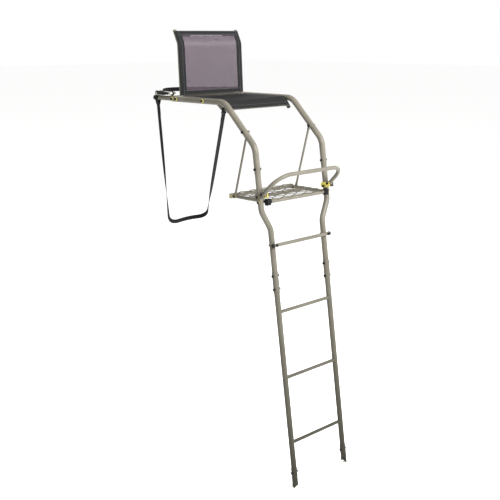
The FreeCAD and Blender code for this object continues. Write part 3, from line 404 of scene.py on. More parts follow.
# Slings: fabric sleeves round both side tubes with one stretched sheet between them
def tubeLine(corners, radius, step=0.008):
    # Points (y, z) and headings along straight runs joined by arcs
    spots = [Vector((feetBack + back * mm, up * mm)) for back, up in corners]
    line = []
    start = spots[0]
    for i in range(1, len(spots) - 1):
        behind = (spots[i - 1] - spots[i]).normalized()
        ahead = (spots[i + 1] - spots[i]).normalized()
        half = behind.angle(ahead) / 2
        entry = spots[i] + behind * (radius / math.tan(half))
        leave = spots[i] + ahead * (radius / math.tan(half))
        centre = spots[i] + (behind + ahead).normalized() * (radius / math.sin(half))
        addRun(line, start, entry, step)
        turn = (entry - centre).angle_signed(leave - centre)
        count = max(3, int(abs(turn) * radius / step) + 1)
        for k in range(count):
            arm = (entry - centre).copy()
            arm.rotate(Matrix.Rotation(-turn * k / count, 2))
            line.append(centre + arm)
        start = leave
    addRun(line, start, spots[-1], step)
    line.append(spots[-1])
    return line


def addRun(line, start, end, step):
    count = max(1, int((end - start).length / step))
    for k in range(count):
        line.append(start.lerp(end, k / count))


def lineLength(line):
    return sum((b - a).length for a, b in zip(line, line[1:]))


def trimmed(line, front, rear):
    # The part of a line between two distances from its ends
    total = lineLength(line)
    kept = []
    along = 0
    for i, spot in enumerate(line):
        if i:
            along += (spot - line[i - 1]).length
        if front <= along <= total - rear:
            kept.append(spot)
    return kept


def section(settings):
    # One half of a sling's cross-section: (distance from the middle, height over the tube's centre)
    reach = chairRadius + settings["cloth"] * 0.6
    points = [(seatSide * k / 13, reach) for k in range(14)]
    wrap = math.radians(settings["wrap"])
    steps = max(4, round(settings["wrap"] / 15))
    for k in range(1, steps + 1):
        angle = math.pi / 2 - wrap * k / steps
        points.append((seatSide + reach * math.cos(angle), reach * math.sin(angle)))
    if settings["sleeve"]:
        # The sleeve's flap comes back up to the sheet and is sewn to it
        for k in range(1, 5):
            part = k / 4
            height = -reach + (2 * reach - settings["cloth"] * 1.4) * part ** 0.7
            points.append((seatSide - settings["sleeve"] * part, height))
    return points


def clothDip(settings, across, part, along):
    # How far the sheet hangs below the tubes, with a shallow ripple
    flat = max(0, 1 - (across / seatSide) ** 2)
    sag = settings["sag"] * flat * math.sin(math.pi * min(1, max(0, part))) ** 0.5
    ripple = math.sin(across * 31 + along * 9) * math.sin(along * 23 + across * 5)
    return sag - settings["ripple"] * flat * ripple


def clothSpot(line, settings, across, along):
    # A place on the outer face of the sheet, and the way it faces
    total = lineLength(line)
    left = along
    for a, b in zip(line, line[1:]):
        run = (b - a).length
        if left <= run:
            break
        left -= run
    spot = a.lerp(b, min(1, left / run))
    heading = (b - a).normalized()
    normal = Vector((-heading.y, heading.x))
    height = chairRadius + settings["cloth"] - clothDip(settings, across, along / total, along)
    place = spot + normal * height
    return Vector((across, place.x, place.y)), Vector((0, normal.x, normal.y))


def inWindow(window, across, up):
    return window and abs(across) < window[0] and window[1] < up < window[2]


def sling(name, node, line, settings, window=None):
    half = section(settings)
    whole = [(-a, h) for a, h in reversed(half[1:])] + half
    across = [0]
    for (a0, h0), (a1, h1) in zip(whole, whole[1:]):
        across.append(across[-1] + math.hypot(a1 - a0, h1 - h0))
    verts = []
    uvs = []
    along = 0
    total = lineLength(line)
    last = len(line) - 1
    for i, spot in enumerate(line):
        heading = (line[min(i + 1, last)] - line[max(i - 1, 0)]).normalized()
        normal = Vector((-heading.y, heading.x))
        if i:
            along += (spot - line[i - 1]).length
        for j, (a, h) in enumerate(whole):
            dip = 0
            if h > 0 and abs(a) < seatSide:
                dip = clothDip(settings, a, along / total, along)
            place = spot + normal * (h - dip)
            verts.append((a, place.x, place.y))
            uvs.append((across[j], along))
    faces = []
    wide = len(whole)
    for i in range(last):
        for j in range(wide - 1):
            corner = i * wide + j
            centre = (Vector(verts[corner]) + Vector(verts[corner + wide + 1])) / 2
            if inWindow(window, centre.x, centre.z):
                continue
            faces.append((corner, corner + 1, corner + wide + 1, corner + wide))
    piece = addPiece(name, verts, faces, slingCloth, uvs=uvs)
    thick = piece.modifiers.new("thickness", "SOLIDIFY")
    thick.thickness = settings["cloth"]
    thick.offset = 0
    smooth = piece.modifiers.new("smooth", "SUBSURF")
    smooth.levels = 1
    smooth.render_levels = 1
    applyModifiers(piece)
    settle(piece, "stand", node)
    return piece, across[-1], total


seat = {
    "route": [(503, 2069), (545, 2121), (884, 2121)],  # the seat tube's corners, mm
    "bend": 38 * mm,
    "frontTrim": 5 * mm,
    "rearTrim": 4 * mm,
    "cloth": 1.4 * mm,
    "wrap": 180,  # degrees round the tube
    "sleeve": 34 * mm,
    "sag": 9 * mm,
    "ripple": 0.8 * mm,
    "hem": 24 * mm,
}
back = {
    "route": [(899, 2107), (916, 2430), (953, 2505)],
    "bend": 60 * mm,
    "frontTrim": 26 * mm,
    "rearTrim": 4 * mm,
    "cloth": 1.4 * mm,
    "wrap": 62,
    "sleeve": 0,
    "sag": 5 * mm,
    "ripple": 0.5 * mm,
    "hem": 24 * mm,
    "window": (199 * mm, 2174 * mm, 2473 * mm),
    "meshPitch": 3.0 * mm,
    "yarn": 2.0 * mm,
}
seam = {"stitch": 4 * mm, "thread": 0.45 * mm, "edge": 4 * mm}


def makeSlings():
    line = trimmed(tubeLine(seat["route"], seat["bend"]), seat["frontTrim"], seat["rearTrim"])
    piece, wide, long = sling("seatSling", "seat_sling", line, seat)
    sewn = hems("seatSeams", line, seat)
    print("seat sling", round(wide, 3), "by", round(long, 3))
    line = trimmed(tubeLine(back["route"], back["bend"]), back["frontTrim"], back["rearTrim"])
    panel, wide, long = sling("backrestSling", "backrest_sling", line, back, back["window"])
    extra = [makeMeshWindow(line), hems("backrestSeams", line, back), windowSeam(line)]
    print("backrest sling", round(wide, 3), "by", round(long, 3))


def stitchLine(spotAt, length):
    # Runs of three points, one for each stitch: sunk at both ends and proud in the middle
    runs = []
    count = int(length / seam["stitch"])
    for k in range(count):
        run = []
        for part, lift in ((0.08, -0.2), (0.5, 0.5), (0.92, -0.2)):
            spot, normal = spotAt((k + part) * length / count)
            run.append(spot + normal * (lift * seam["thread"]))
        runs.append(run)
    return runs


def hems(name, line, settings):
    # Two rows of stitches across each end and one along each side tube
    total = lineLength(line)
    inner = seatSide - chairRadius
    runs = []
    for along in (seam["edge"], settings["hem"], total - settings["hem"], total - seam["edge"]):
        runs += stitchLine(lambda part: clothSpot(line, settings, part - inner, along), 2 * inner)
    for sign in (-1, 1):
        beside = sign * (inner - 6 * mm)
        runs += stitchLine(lambda part: clothSpot(line, settings, beside, part), total)
    return sewnThread(name, runs)


def windowSeam(line):
    # A row of stitches round the mesh, in the solid cloth
    halfWide, bottom, top = back["window"]
    halfWide += seam["edge"]
    runs = []
    for along in (windowAlong(line, bottom) - 0.01, windowAlong(line, top) + 0.006):
        runs += stitchLine(lambda part: clothSpot(line, back, part - halfWide, along), 2 * halfWide)
    low = windowAlong(line, bottom)
    for sign in (-1, 1):
        across = sign * halfWide
        runs += stitchLine(lambda part: clothSpot(line, back, across, low + part), top - bottom)
    return sewnThread("windowSeam", runs)


def windowAlong(line, up):
    along = 0
    for a, b in zip(line, line[1:]):
        if b.y >= up:
            return along + (b - a).length * (up - a.y) / (b.y - a.y)
        along += (b - a).length
    return along


def sewnThread(name, runs):
    piece = runsToTubes(name, runs, seam["thread"], 5, seamThread)
    settle(piece, "stand")
    return piece


def makeMeshWindow(line):
    # Round yarns each way, one layer over the other, with square openings between them
    halfWide, bottom, top = back["window"]
    halfWide += 6 * mm
    pitch = back["meshPitch"]
    first = windowAlong(line, bottom) - 10 * mm
    long = windowAlong(line, top) + 8 * mm - first
    columns = int(2 * halfWide / pitch)
    rows = int(long / pitch)
    sink = back["cloth"] / 2
    lift = back["yarn"] * 0.25
    runs = []
    for i in range(columns + 1):
        run = []
        for k in range(0, rows + 1, 4):
            spot, normal = clothSpot(line, back, i * pitch - halfWide, first + k * pitch)
            run.append(spot + normal * (lift - sink))
        runs.append(run)
    for k in range(rows + 1):
        run = []
        for i in range(0, columns + 1, 8):
            spot, normal = clothSpot(line, back, i * pitch - halfWide, first + k * pitch)
            run.append(spot - normal * (lift + sink))
        runs.append(run)
    piece = runsToTubes("backrestMesh", runs, back["yarn"] / 2, 4, mauveYarn)
    settle(piece, "stand")
    return piece


# Geometry Nodes: a tube of a given radius along every run of a line mesh
def newTree(name, sockets):
    tree = bpy.data.node_groups.new(name, "GeometryNodeTree")
    tree.interface.new_socket("Geometry", in_out="INPUT", socket_type="NodeSocketGeometry")
    for label, default in sockets.items():
        kind = "NodeSocketInt" if isinstance(default, int) else "NodeSocketFloat"
        socket = tree.interface.new_socket(label, in_out="INPUT", socket_type=kind)
        socket.default_value = default
    tree.interface.new_socket("Geometry", in_out="OUTPUT", socket_type="NodeSocketGeometry")
    return tree


def runTree(name, verts, edges, tree, settings):
    # A line mesh goes through the tree and comes out as a plain mesh
    mesh = bpy.data.meshes.new(name)
    mesh.from_pydata([tuple(v) for v in verts], edges, [])
    piece = bpy.data.objects.new(name, mesh)
    scene.link(piece)
    modifier = piece.modifiers.new(tree.name, "NODES")
    modifier.node_group = tree
    for item in tree.interface.items_tree:
        if item.item_type == "SOCKET" and item.in_out == "INPUT" and item.name in settings:
            modifier[item.identifier] = settings[item.name]
    applyModifiers(piece)
    return piece


def tubeTree(material):
    # Line mesh to curve, then a round profile swept along it
    tree = newTree("tubesAlongRuns", {"Radius": 1 * mm, "Sides": 6})
    source = addNode(tree, "NodeGroupInput")
    curve = addNode(tree, "GeometryNodeMeshToCurve", {"Mesh": source.outputs["Geometry"]})
    inputs = {"Radius": source.outputs["Radius"], "Resolution": source.outputs["Sides"]}
    ring = addNode(tree, "GeometryNodeCurvePrimitiveCircle", inputs)
    finishTree(tree, alongCurve(tree, curve, ring), material, smooth=True)
    return tree


def alongCurve(tree, curve, profile):
    inputs = {"Curve": curve.outputs["Curve"], "Profile Curve": profile.outputs["Curve"]}
    inputs["Fill Caps"] = True
    return addNode(tree, "GeometryNodeCurveToMesh", inputs).outputs["Mesh"]


def finishTree(tree, geometry, material, smooth=False):
    # Every tree ends in real geometry with its material on
    if smooth:
        softened = addNode(tree, "GeometryNodeSetShadeSmooth", {"Geometry": geometry})
        geometry = softened.outputs["Geometry"]
    real = addNode(tree, "GeometryNodeRealizeInstances", {"Geometry": geometry})
    inputs = {"Geometry": real.outputs["Geometry"], "Material": material}
    painted = addNode(tree, "GeometryNodeSetMaterial", inputs)
    addNode(tree, "NodeGroupOutput", {"Geometry": painted.outputs["Geometry"]})


def runMesh(runs):
    verts = []
    edges = []
    for run in runs:
        first = len(verts)
        verts += run
        edges += [(first + k, first + k + 1) for k in range(len(run) - 1)]
    return verts, edges


def runsToTubes(name, runs, radius, sides, material):
    verts, edges = runMesh(runs)
    settings = {"Radius": radius, "Sides": sides}
    return runTree(name, verts, edges, tubeTree(material), settings)


# Shapes of turned, swept and cut pieces: each gives verts and faces
def turned(profile, origin, axis, sides=32):
    # A profile of (radius, distance along the axis), turned round the axis
    ahead = Vector(axis).normalized()
    side = ahead.orthogonal().normalized()
    up = ahead.cross(side)
    verts = []
    for radius, along in profile:
        for k in range(sides):
            angle = 2 * math.pi * k / sides
            arm = side * math.cos(angle) + up * math.sin(angle)
            verts.append(Vector(origin) + ahead * along + arm * max(radius, 0.00001))
    return verts, gridFaces(len(profile), sides)


def gridFaces(rows, ring):
    faces = [tuple(reversed(range(ring)))]
    for i in range(rows - 1):
        for k in range(ring):
            after = (k + 1) % ring
            faces.append((i * ring + k, i * ring + after, (i + 1) * ring + after, (i + 1) * ring + k))
    faces.append(tuple(range((rows - 1) * ring, rows * ring)))
    return faces


def swept(line, outline, widthAt):
    # A closed outline of (across, out) moved along a line; widthAt gives the way across
    verts = []
    before = None
    last = len(line) - 1
    for i, spot in enumerate(line):
        heading = (line[min(i + 1, last)] - line[max(i - 1, 0)]).normalized()
        across = widthAt(spot, heading, i / last)
        across = (across - heading * across.dot(heading)).normalized()
        if before and across.dot(before) < 0:
            across = -across
        before = across
        out = heading.cross(across)
        verts += [spot + across * a + out * b for a, b in outline]
    return verts, gridFaces(len(line), len(outline))


def steady(x, y=0):
    # The same way across all along a line
    return lambda spot, heading, part: Vector((x, y, 0))


def ringOutline(radius, sides=10):
    turns = [2 * math.pi * k / sides for k in range(sides)]
    return [(radius * math.cos(turn), radius * math.sin(turn)) for turn in turns]


def bandOutline(wide, thick):
    # A flat band with softened edges
    half, slim = wide / 2, thick / 2
    right = [(half - slim / 2, -slim), (half, -slim / 2), (half, slim / 2), (half - slim / 2, slim)]
    across = [(wide * part, slim) for part in (0.25, 0, -0.25)]
    return right + across + [(-a, -b) for a, b in right] + [(-a, -b) for a, b in across]


def roundedCorners(corners, radius, steps=4):
    # A closed outline with an arc at every corner
    points = []
    spots = [Vector(corner) for corner in corners]
    for i, here in enumerate(spots):
        behind = (spots[i - 1] - here).normalized()
        ahead = (spots[(i + 1) % len(spots)] - here).normalized()
        half = behind.angle(ahead) / 2
        reach = radius / math.tan(half)
        start, end = here + behind * reach, here + ahead * reach
        for k in range(steps + 1):
            part = k / steps
            points.append(start.lerp(here, part).lerp(here.lerp(end, part), part))
    return points


def cutPlate(outline, x, thick):
    # A plate across X, its side view given as (y, z)
    verts = []
    for across in (x - thick / 2, x + thick / 2):
        verts += [Vector((across, y, z)) for y, z in outline]
    return verts, gridFaces(2, len(outline))


def joined(name, parts, material, body, node=None, crisp=30):
    # Several shapes as one piece, with soft shading except over edges sharper than crisp degrees
    verts = []
    faces = []
    for partVerts, partFaces in parts:
        first = len(verts)
        verts += partVerts
        faces += [tuple(first + k for k in face) for face in partFaces]
    piece = outward(addPiece(name, verts, faces, material))
    piece.data.set_sharp_from_angle(angle=math.radians(crisp))
    settle(piece, body, node)


def routeLine(corners, resolution=16):
    # The centreline that a NURBS curve of order 3 makes of its corners
    curve = bpy.data.curves.new("route", "CURVE")
    curve.dimensions = "3D"
    spline = curve.splines.new("NURBS")
    spline.points.add(len(corners) - 1)
    for point, corner in zip(spline.points, corners):
        point.co = (*corner, 1)
    spline.order_u = 3
    spline.use_endpoint_u = True
    spline.resolution_u = resolution
    holder = bpy.data.objects.new("route", curve)
    scene.link(holder)
    bpy.context.view_layer.update()
    mesh = plainMesh(holder)
    line = [vert.co.copy() for vert in mesh.vertices]
    bpy.data.objects.remove(holder)
    bpy.data.meshes.remove(mesh)
    return line


def fromFeet(x, behind, up):
    # A place in millimetres from the middle of the line between the feet
    return Vector((x * mm, feetBack + behind * mm, up * mm))


# Straps: flat webbing, tight round the back of the tree
strap = {
    "wide": 25 * mm,
    "thick": 2.0 * mm,
    "turnRoom": 130 * mm,  # from a corner to the next point on a long run
    "fold": 70 * mm,
    "treeBack": 1142,  # the trunk's axis, mm behind the feet
}


def toward(start, end, distance):
    return start + (end - start).normalized() * distance


def flatOnTrunk(spot, heading):
    # Across the strap where it lies flat on the trunk
    axis = fromFeet(0, strap["treeBack"], 0)
    out = Vector((spot.x - axis.x, spot.y - axis.y, 0))
    return heading.cross(out).normalized()


def eased(part, start, end):
    part = min(1, max(0, (part - start) / (end - start)))
    return part * part * (3 - 2 * part)


def ribbonWidth(first, last, entry, leave):
    # Across at the first end, flat on the trunk between entry and leave, then across at the last
    def widthAt(spot, heading, part):
        flat = flatOnTrunk(spot, heading)
        begin = first if first.dot(flat) >= 0 else -first
        end = last if last.dot(flat) >= 0 else -last
        if part < entry:
            return begin.lerp(flat, eased(part, 0.4 * entry, entry))
        return flat.lerp(end, eased(part, leave, 1 - 0.1 * (1 - leave)))
    return widthAt


def evenly(line, step):
    # The same line in equal steps
    total = lineLength(line)
    count = round(total / step)
    points = []
    i = 0
    gone = 0
    for k in range(count + 1):
        want = total * k / count
        while i < len(line) - 2 and gone + (line[i + 1] - line[i]).length < want:
            gone += (line[i + 1] - line[i]).length
            i += 1
        run = (line[i + 1] - line[i]).length
        points.append(line[i].lerp(line[i + 1], min(1, (want - gone) / run)))
    return points, total


def webbing(name, node, line, widthAt):
    line, length = evenly(line, 6 * mm)
    outline = bandOutline(strap["wide"], strap["thick"])
    verts, faces = swept(line, outline, widthAt)
    ring = len(outline)
    last = len(line) - 1
    uvs = [(a, length * i / last) for i in range(last + 1) for a, b in outline]
    # Both ends are folded back on themselves and sewn down
    count = round(strap["fold"] / length * len(line))
    folds = [list(range(count)), list(range(len(line) - count, len(line)))]
    for rows in folds:
        first = len(verts)
        for i in rows:
            here = verts[i * ring:(i + 1) * ring]
            out = (here[3] - here[0]).normalized() * strap["thick"] * 0.96
            verts += [spot + out for spot in here]
            uvs += uvs[i * ring:(i + 1) * ring]
        faces += [tuple(first + k for k in face) for face in gridFaces(len(rows), ring)]
    piece = addPiece(name, verts, faces, strapCloth, uvs=uvs)
    piece.data.set_sharp_from_angle(angle=math.radians(50))
    settle(piece, "stand", node)
    sewn = foldStitches(name + "Stitches", verts, ring, folds)
    print(name, "length", round(length, 3))


def foldStitches(name, verts, ring, folds):
    # Four rows of stitches along each fold
    runs = []
    for rows in folds:
        for across in (0.14, 0.38, 0.62, 0.86):
            for i in rows[1:-1]:
                here = verts[i * ring:(i + 1) * ring]
                there = verts[(i + 1) * ring:(i + 2) * ring]
                out = (here[3] - here[0]).normalized()
                start = here[3].lerp(here[7], across) + out * strap["thick"] * 0.96
                end = there[3].lerp(there[7], across) + out * strap["thick"] * 0.96
                middleSpot = start.lerp(end, 0.42) + out * seam["thread"] * 0.6
                runs.append([start.lerp(end, 0.1), middleSpot, start.lerp(end, 0.75)])
    piece = runsToTubes(name, runs, seam["thread"], 5, seamThread)
    settle(piece, "stand")
    return piece


def makeStabiliserStrap():
    start = Vector((leftX, middle("front_strap_hook").y, low("front_strap_hook").z - 3.5 * mm))
    end = Vector((leftX, middle("rear_strap_loop").y, low("rear_strap_loop").z - 2 * mm))
    trunk = [fromFeet(144.5, 1122, 1351), fromFeet(98, 1250, 1325), fromFeet(-34, 1284, 1299)]
    room = strap["turnRoom"]
    corners = [start, toward(trunk[0], start, room), *trunk, toward(trunk[-1], end, room), end]
    widthAt = ribbonWidth(Vector((1, 0, 0)), Vector((0, 1, 0)), 0.46, 0.64)
    webbing("stabiliserStrap", "stabiliser_strap", routeLine(corners), widthAt)


def makeTreeStrap():
    level = middle("ratchet_spool").z
    start = Vector((leftX, middle("ratchet_spool").y + 11.6 * mm, level))
    end = Vector((-leftX, middle("tree_strap_anchor").y + 7 * mm, level))
    trunk = [fromFeet(-47, 1271, 0), fromFeet(44, 1271, 0)]
    for spot in trunk:
        spot.z = level
    room = strap["turnRoom"] * 0.72
    corners = [start, toward(trunk[0], start, room), *trunk, toward(trunk[-1], end, room), end]
    widthAt = ribbonWidth(Vector((1, 0, 0)), Vector((0, 0, 1)), 0.3, 0.7)
    webbing("treeStrap", "tree_strap", routeLine(corners), widthAt)


# Fittings of the straps
fitting = {"rod": 5.5 * mm, "bar": 32 * mm, "loopWide": 27 * mm, "loopThick": 2.2 * mm}


def makeFrontHook():
    # A black clevis round the tab, with a pin through its eye and a flat ring for the webbing
    y = middle("front_strap_hook").y
    eye = low("strap_tab").z + 11 * mm
    side = [(-8, 8), (8, 8), (8, -12), (5, -19), (-5, -19), (-8, -12)]
    outline = roundedCorners([(y + a * mm, eye + b * mm) for a, b in side], 3 * mm)
    parts = [cutPlate(outline, leftX + sign * 5.2 * mm, 5.6 * mm) for sign in (-1, 1)]
    parts.append(crossPin(y, eye, 9 * mm, 3 * mm))
    half = fitting["bar"] / 2
    top, bottom = eye - 13 * mm, eye - 22 * mm
    corners = [(leftX - half, top), (leftX + half, top), (leftX + half, bottom), (leftX - half, bottom)]
    ring = [Vector((x, y, z)) for x, z in roundedCorners(corners, 4 * mm)]
    rod = ringOutline(fitting["rod"] / 2)
    parts.append(swept(ring + ring[:2], rod, steady(0, 1)))
    joined("frontStrapHook", parts, blackOxide, "stand", "front_strap_hook", 45)


def makeRearLoop():
    # A webbing loop round the left tree arm, sewn together where it meets the strap
    back = middle("rear_strap_loop").y
    centre = Vector((leftX, back, armLevel))
    reach = armRadius + fitting["loopThick"] * 0.6
    tip = low("rear_strap_loop").z - 3 * mm
    side = []
    for k in range(11):
        angle = math.radians(90 - 12 * k)
        side.append(Vector((reach * math.cos(angle), 0, reach * math.sin(angle))))
    neck = Vector((2.2 * mm, 0, tip - armLevel))
    half = side + [side[-1].lerp(neck, 0.5), neck]
    line = [centre + Vector((-spot.x, 0, spot.z)) for spot in reversed(half[1:])]
    line += [centre + spot for spot in half]
    band = bandOutline(fitting["loopWide"], fitting["loopThick"])
    verts, faces = swept(line, band, steady(0, 1))
    uvs = [(a, spot.z + spot.x) for spot in line for a, b in band]
    piece = addPiece("rearStrapLoop", verts, faces, strapCloth, uvs=uvs)
    settle(piece, "stand", "rear_strap_loop")


def makeAnchor():
    # A bent steel hook on the right tree arm, open towards the tree
    node = "tree_strap_anchor"
    back, front = high(node).y, low(node).y
    foot, top = low(node).z, high(node).z
    x = -leftX
    corners = [
        Vector((x, front, foot + 2 * mm)),
        Vector((x, back - 6 * mm, foot + 2 * mm)),
        Vector((x, back - 2 * mm, foot + 5 * mm)),
        Vector((x, back - 2 * mm, top)),
        Vector((x, back - 16 * mm, top + 2 * mm)),
        Vector((x, back - 18 * mm, foot + 12 * mm)),
    ]
    wide = high(node).x - low(node).x
    band = bandOutline(wide, 3.4 * mm)
    parts = [swept(routeLine(corners), band, steady(1))]
    rivet = [(0, 0), (5 * mm, 0), (5 * mm, 1 * mm), (3 * mm, 3 * mm), (0, 3.4 * mm)]
    parts.append(turned(rivet, (x, front + 7 * mm, foot + 3.4 * mm), (0, 0, 1)))
    joined("treeStrapAnchor", parts, blackOxide, "stand", node, 45)


# Ratchet: everything is placed from the spool's axle
ratchet = {
    "plate": 2.0 * mm,
    "half": 15 * mm,
    "wheel": 14 * mm,
    "teeth": 14,
    "wound": 11 * mm,
    "rivet": 4.5 * mm,
}


def axlePoint(back, up):
    spool = middle("ratchet_spool")
    return (spool.y + back * mm, spool.z + up * mm)


def makeRatchetFrame():
    # Two side plates on a base, with a cross pin at the rear
    floor = low("ratchet_frame").z - middle("ratchet_spool").z + fitting["loopThick"]
    side = [(-43, 0), (19, 0), (19, 8), (8, 16), (-16, 13), (-30, 0), (-43, -4)]
    corners = [axlePoint(back, up) for back, up in side]
    base = middle("ratchet_spool").z + floor
    corners[0] = (corners[0][0], base)
    corners[1] = (corners[1][0], base)
    outline = roundedCorners(corners, 3 * mm)
    parts = []
    for sign in (-1, 1):
        parts.append(cutPlate(outline, leftX + sign * (ratchet["half"] - 1 * mm), ratchet["plate"]))
    front, rear = corners[0][0], corners[1][0]
    flat = [(front, base), (rear, base), (rear, base + 2 * mm), (front, base + 2 * mm)]
    parts.append(cutPlate(flat, leftX, 2 * ratchet["half"] - 2 * mm))
    for back, up in ((-36, -8), (14, -6)):
        y, z = axlePoint(back, up)
        parts.append(crossPin(y, z, ratchet["half"] + 1.2 * mm, ratchet["rivet"] / 2))
    joined("ratchetFrame", parts, brightZinc, "stand", "ratchet_frame")


def crossPin(y, z, half, radius):
    # A pin across the ratchet with a domed head at both ends
    head = radius * 1.5
    profile = [(0, -half - 1.6 * mm), (head * 0.7, -half - 1.3 * mm), (head, -half), (radius, -half)]
    profile += [(r, -along) for r, along in reversed(profile)]
    return turned(profile, (leftX, y, z), (1, 0, 0), 20)


def makeSpool():
    # A slotted axle with a toothed wheel at both ends and the strap wound on it
    y, z = axlePoint(0, 0)
    half = ratchet["half"] + 3.6 * mm
    ends = [(0, -half - 3 * mm), (4 * mm, -half - 3 * mm), (5 * mm, -half - 2 * mm)]
    profile = ends + [(r, -along) for r, along in reversed(ends)]
    parts = [turned(profile, (leftX, y, z), (1, 0, 0), 24)]
    outline = []
    for tooth in range(ratchet["teeth"]):
        # Each tooth rises slowly and drops steeply
        for part, reach in ((0, 0.8), (0.8, 1), (0.98, 0.98)):
            angle = 2 * math.pi * (tooth + part) / ratchet["teeth"]
            radius = ratchet["wheel"] * reach
            outline.append((y + radius * math.cos(angle), z + radius * math.sin(angle)))
    for sign in (-1, 1):
        parts.append(cutPlate(outline, leftX + sign * (ratchet["half"] + 1.3 * mm), 2 * mm))
    joined("ratchetSpool", parts, brightZinc, "spool", "ratchet_spool")
    makeWound(y, z)


def makeWound(y, z):
    # Nearly four turns of webbing on the axle, as a spiral band
    line = []
    turns = 3.6
    count = 110
    for k in range(count + 1):
        angle = 2 * math.pi * turns * k / count
        radius = 6.4 * mm + (ratchet["wound"] - 7.4 * mm) * k / count
        line.append(Vector((leftX, y + radius * math.cos(angle), z + radius * math.sin(angle))))
    band = bandOutline(strap["wide"] * 0.96, 1.5 * mm)
    verts, faces = swept(line, band, steady(1))
    uvs = [(a, k * 3 * mm) for k in range(count + 1) for a, b in band]
    piece = addPiece("woundWebbing", verts, faces, strapCloth, uvs=uvs)
    settle(piece, "spool")


def makeHandle():
    # Two black arms outside the wheels, a bright pressed web between them and a round grip
    side = [(-10, -8), (8, -9), (12, 0), (6, 11), (-10, 13), (-90, 10), (-104, 8), (-104, -7), (-90, -6)]
    outline = roundedCorners([axlePoint(back, up) for back, up in side], 3 * mm)
    arms = []
    for sign in (-1, 1):
        arms.append(cutPlate(outline, leftX + sign * (ratchet["half"] + 3.6 * mm), 1.8 * mm))
    y, z = axlePoint(-118, 1)
    half = ratchet["half"] + 4.5 * mm
    cover = [(11.6, -5), (12.8, -4), (12.8, 4), (11.6, 5)]
    arms.append(turned([(r * mm, a * mm) for r, a in cover], (leftX, y, z), (1, 0, 0)))
    joined("ratchetHandleArms", arms, blackOxide, "handle", "ratchet_handle")
    grip = [(0, -half), (8 * mm, -half), (10.5 * mm, 2 * mm - half), (11.5 * mm, 5 * mm - half)]
    profile = grip + [(11 * mm, 0)] + [(r, -along) for r, along in reversed(grip)]
    web = [(-100, 3), (-24, 6), (-24, 9), (-60, 10), (-100, 8)]
    corners = [axlePoint(back, up) for back, up in web]
    parts = [
        turned(profile, (leftX, y, z), (1, 0, 0)),
        cutPlate(roundedCorners(corners, 1.2 * mm), leftX, 2 * ratchet["half"] + 4.6 * mm),
    ]
    joined("ratchetHandleWeb", parts, brightZinc, "handle")


# Moulded ends
def ends(name, node, profile, spots, sides):
    # The same turned shape at several spots, each with the way that it faces
    parts = [turned(profile, spot, heading, sides) for spot, heading in spots]
    joined(name, parts, blackPlastic, "stand", node, 40)


def makeArmCaps():
    # Domed caps on the tree arms
    collar = armRadius + 1.6 * mm
    dome = [(armRadius + 0.1 * mm, -14), (collar, -14), (collar, -1), (collar * 0.92, 1.4)]
    dome += [(collar * 0.7, 2.8), (collar * 0.35, 3.4), (0, 3.6)]
    profile = [(radius, along * mm) for radius, along in dome]
    end = high("tree_arm_left").y
    spots = [((sign * leftX, end, armLevel), (0, 1, 0)) for sign in (-1, 1)]
    ends("armEndCaps", "arm_end_caps", profile, spots, 32)


def makeRungCaps():
    radius = 10 * mm
    shape = [(radius, -9), (radius + 1.2 * mm, -9), (radius + 1.2 * mm, 0), (radius, 2), (0, 2.8)]
    profile = [(r, along * mm) for r, along in shape]
    centre = middle("top_rung")
    reach = high("top_rung").x - centre.x
    spots = [(centre + Vector((sign * reach, 0, 0)), (sign, 0, 0)) for sign in (-1, 1)]
    ends("topRungCaps", "top_rung_caps", profile, spots, 24)


def makeSeatPlugs():
    # Dished plugs in the front ends of the seat tubes
    (frontBack, frontUp), (bendBack, bendUp) = seat["route"][:2]
    heading = Vector((0, frontBack - bendBack, frontUp - bendUp)).normalized()
    shape = [(8.6, -6), (10.9, -6), (11.2, 1), (10.2, 3), (8.4, 3), (7.2, 0.6), (0, 0.4)]
    profile = [(r * mm, along * mm) for r, along in shape]
    spots = [(fromFeet(sign * seatSide / mm, frontBack, frontUp), heading) for sign in (-1, 1)]
    ends("seatTubePlugs", "chair_end_plugs", profile, spots, 28)


block = {"soft": 3.5 * mm, "rib": 3 * mm, "collar": 12.6 * mm}


def makeStopBlock(side):
    # A moulded corner block: a core with three ribs each way and a collar round the front bar
    node = "stop_block_" + side
    near, far = low(node), high(node)
    centre = (near + far) / 2
    half = (far - near) / 2
    inset = 2.2 * mm
    parts = [softBox(centre, half - Vector((inset, inset, inset)))]
    for up in (-0.86, 0, 0.86):
        place = centre + Vector((0, 0, up * (half.z - block["rib"] / 2)))
        parts.append(softBox(place, Vector((half.x, half.y, block["rib"] / 2)), 1 * mm))
    upright = Vector((block["rib"] / 2, half.y, half.z))
    for across in (-0.8, 0.8):
        parts.append(softBox(centre + Vector((across * half.x, 0, 0)), upright, 1 * mm))
    inward = -1 if side == "right" else 1
    bar = middle("platform_front_bar")
    radius = block["collar"]
    profile = [(0, 0), (radius, 0), (radius, 11 * mm), (radius - 1.4 * mm, 13 * mm), (0, 13 * mm)]
    start = (centre.x + inward * (half.x - 2 * mm), bar.y, bar.z)
    parts.append(turned(profile, start, (inward, 0, 0)))
    joined("stopBlock" + side.title(), parts, blackPlastic, "stand", node, 40)


def softBox(centre, half, soft=None):
    # A block with rounded upright and level edges
    soft = block["soft"] if soft is None else soft
    corners = [(-half.x, -half.y), (half.x, -half.y), (half.x, half.y), (-half.x, half.y)]
    outline = roundedCorners(corners, soft)
    verts = []
    ends = [(-half.z, soft * 0.7), (soft * 0.5 - half.z, 0)]
    levels = ends + [(-up, shrink) for up, shrink in reversed(ends)]
    for up, shrink in levels:
        for spot in outline:
            inset = (spot.x * (1 - shrink / half.x), spot.y * (1 - shrink / half.y), up)
            verts.append(centre + Vector(inset))
    return verts, gridFaces(len(levels), len(outline))


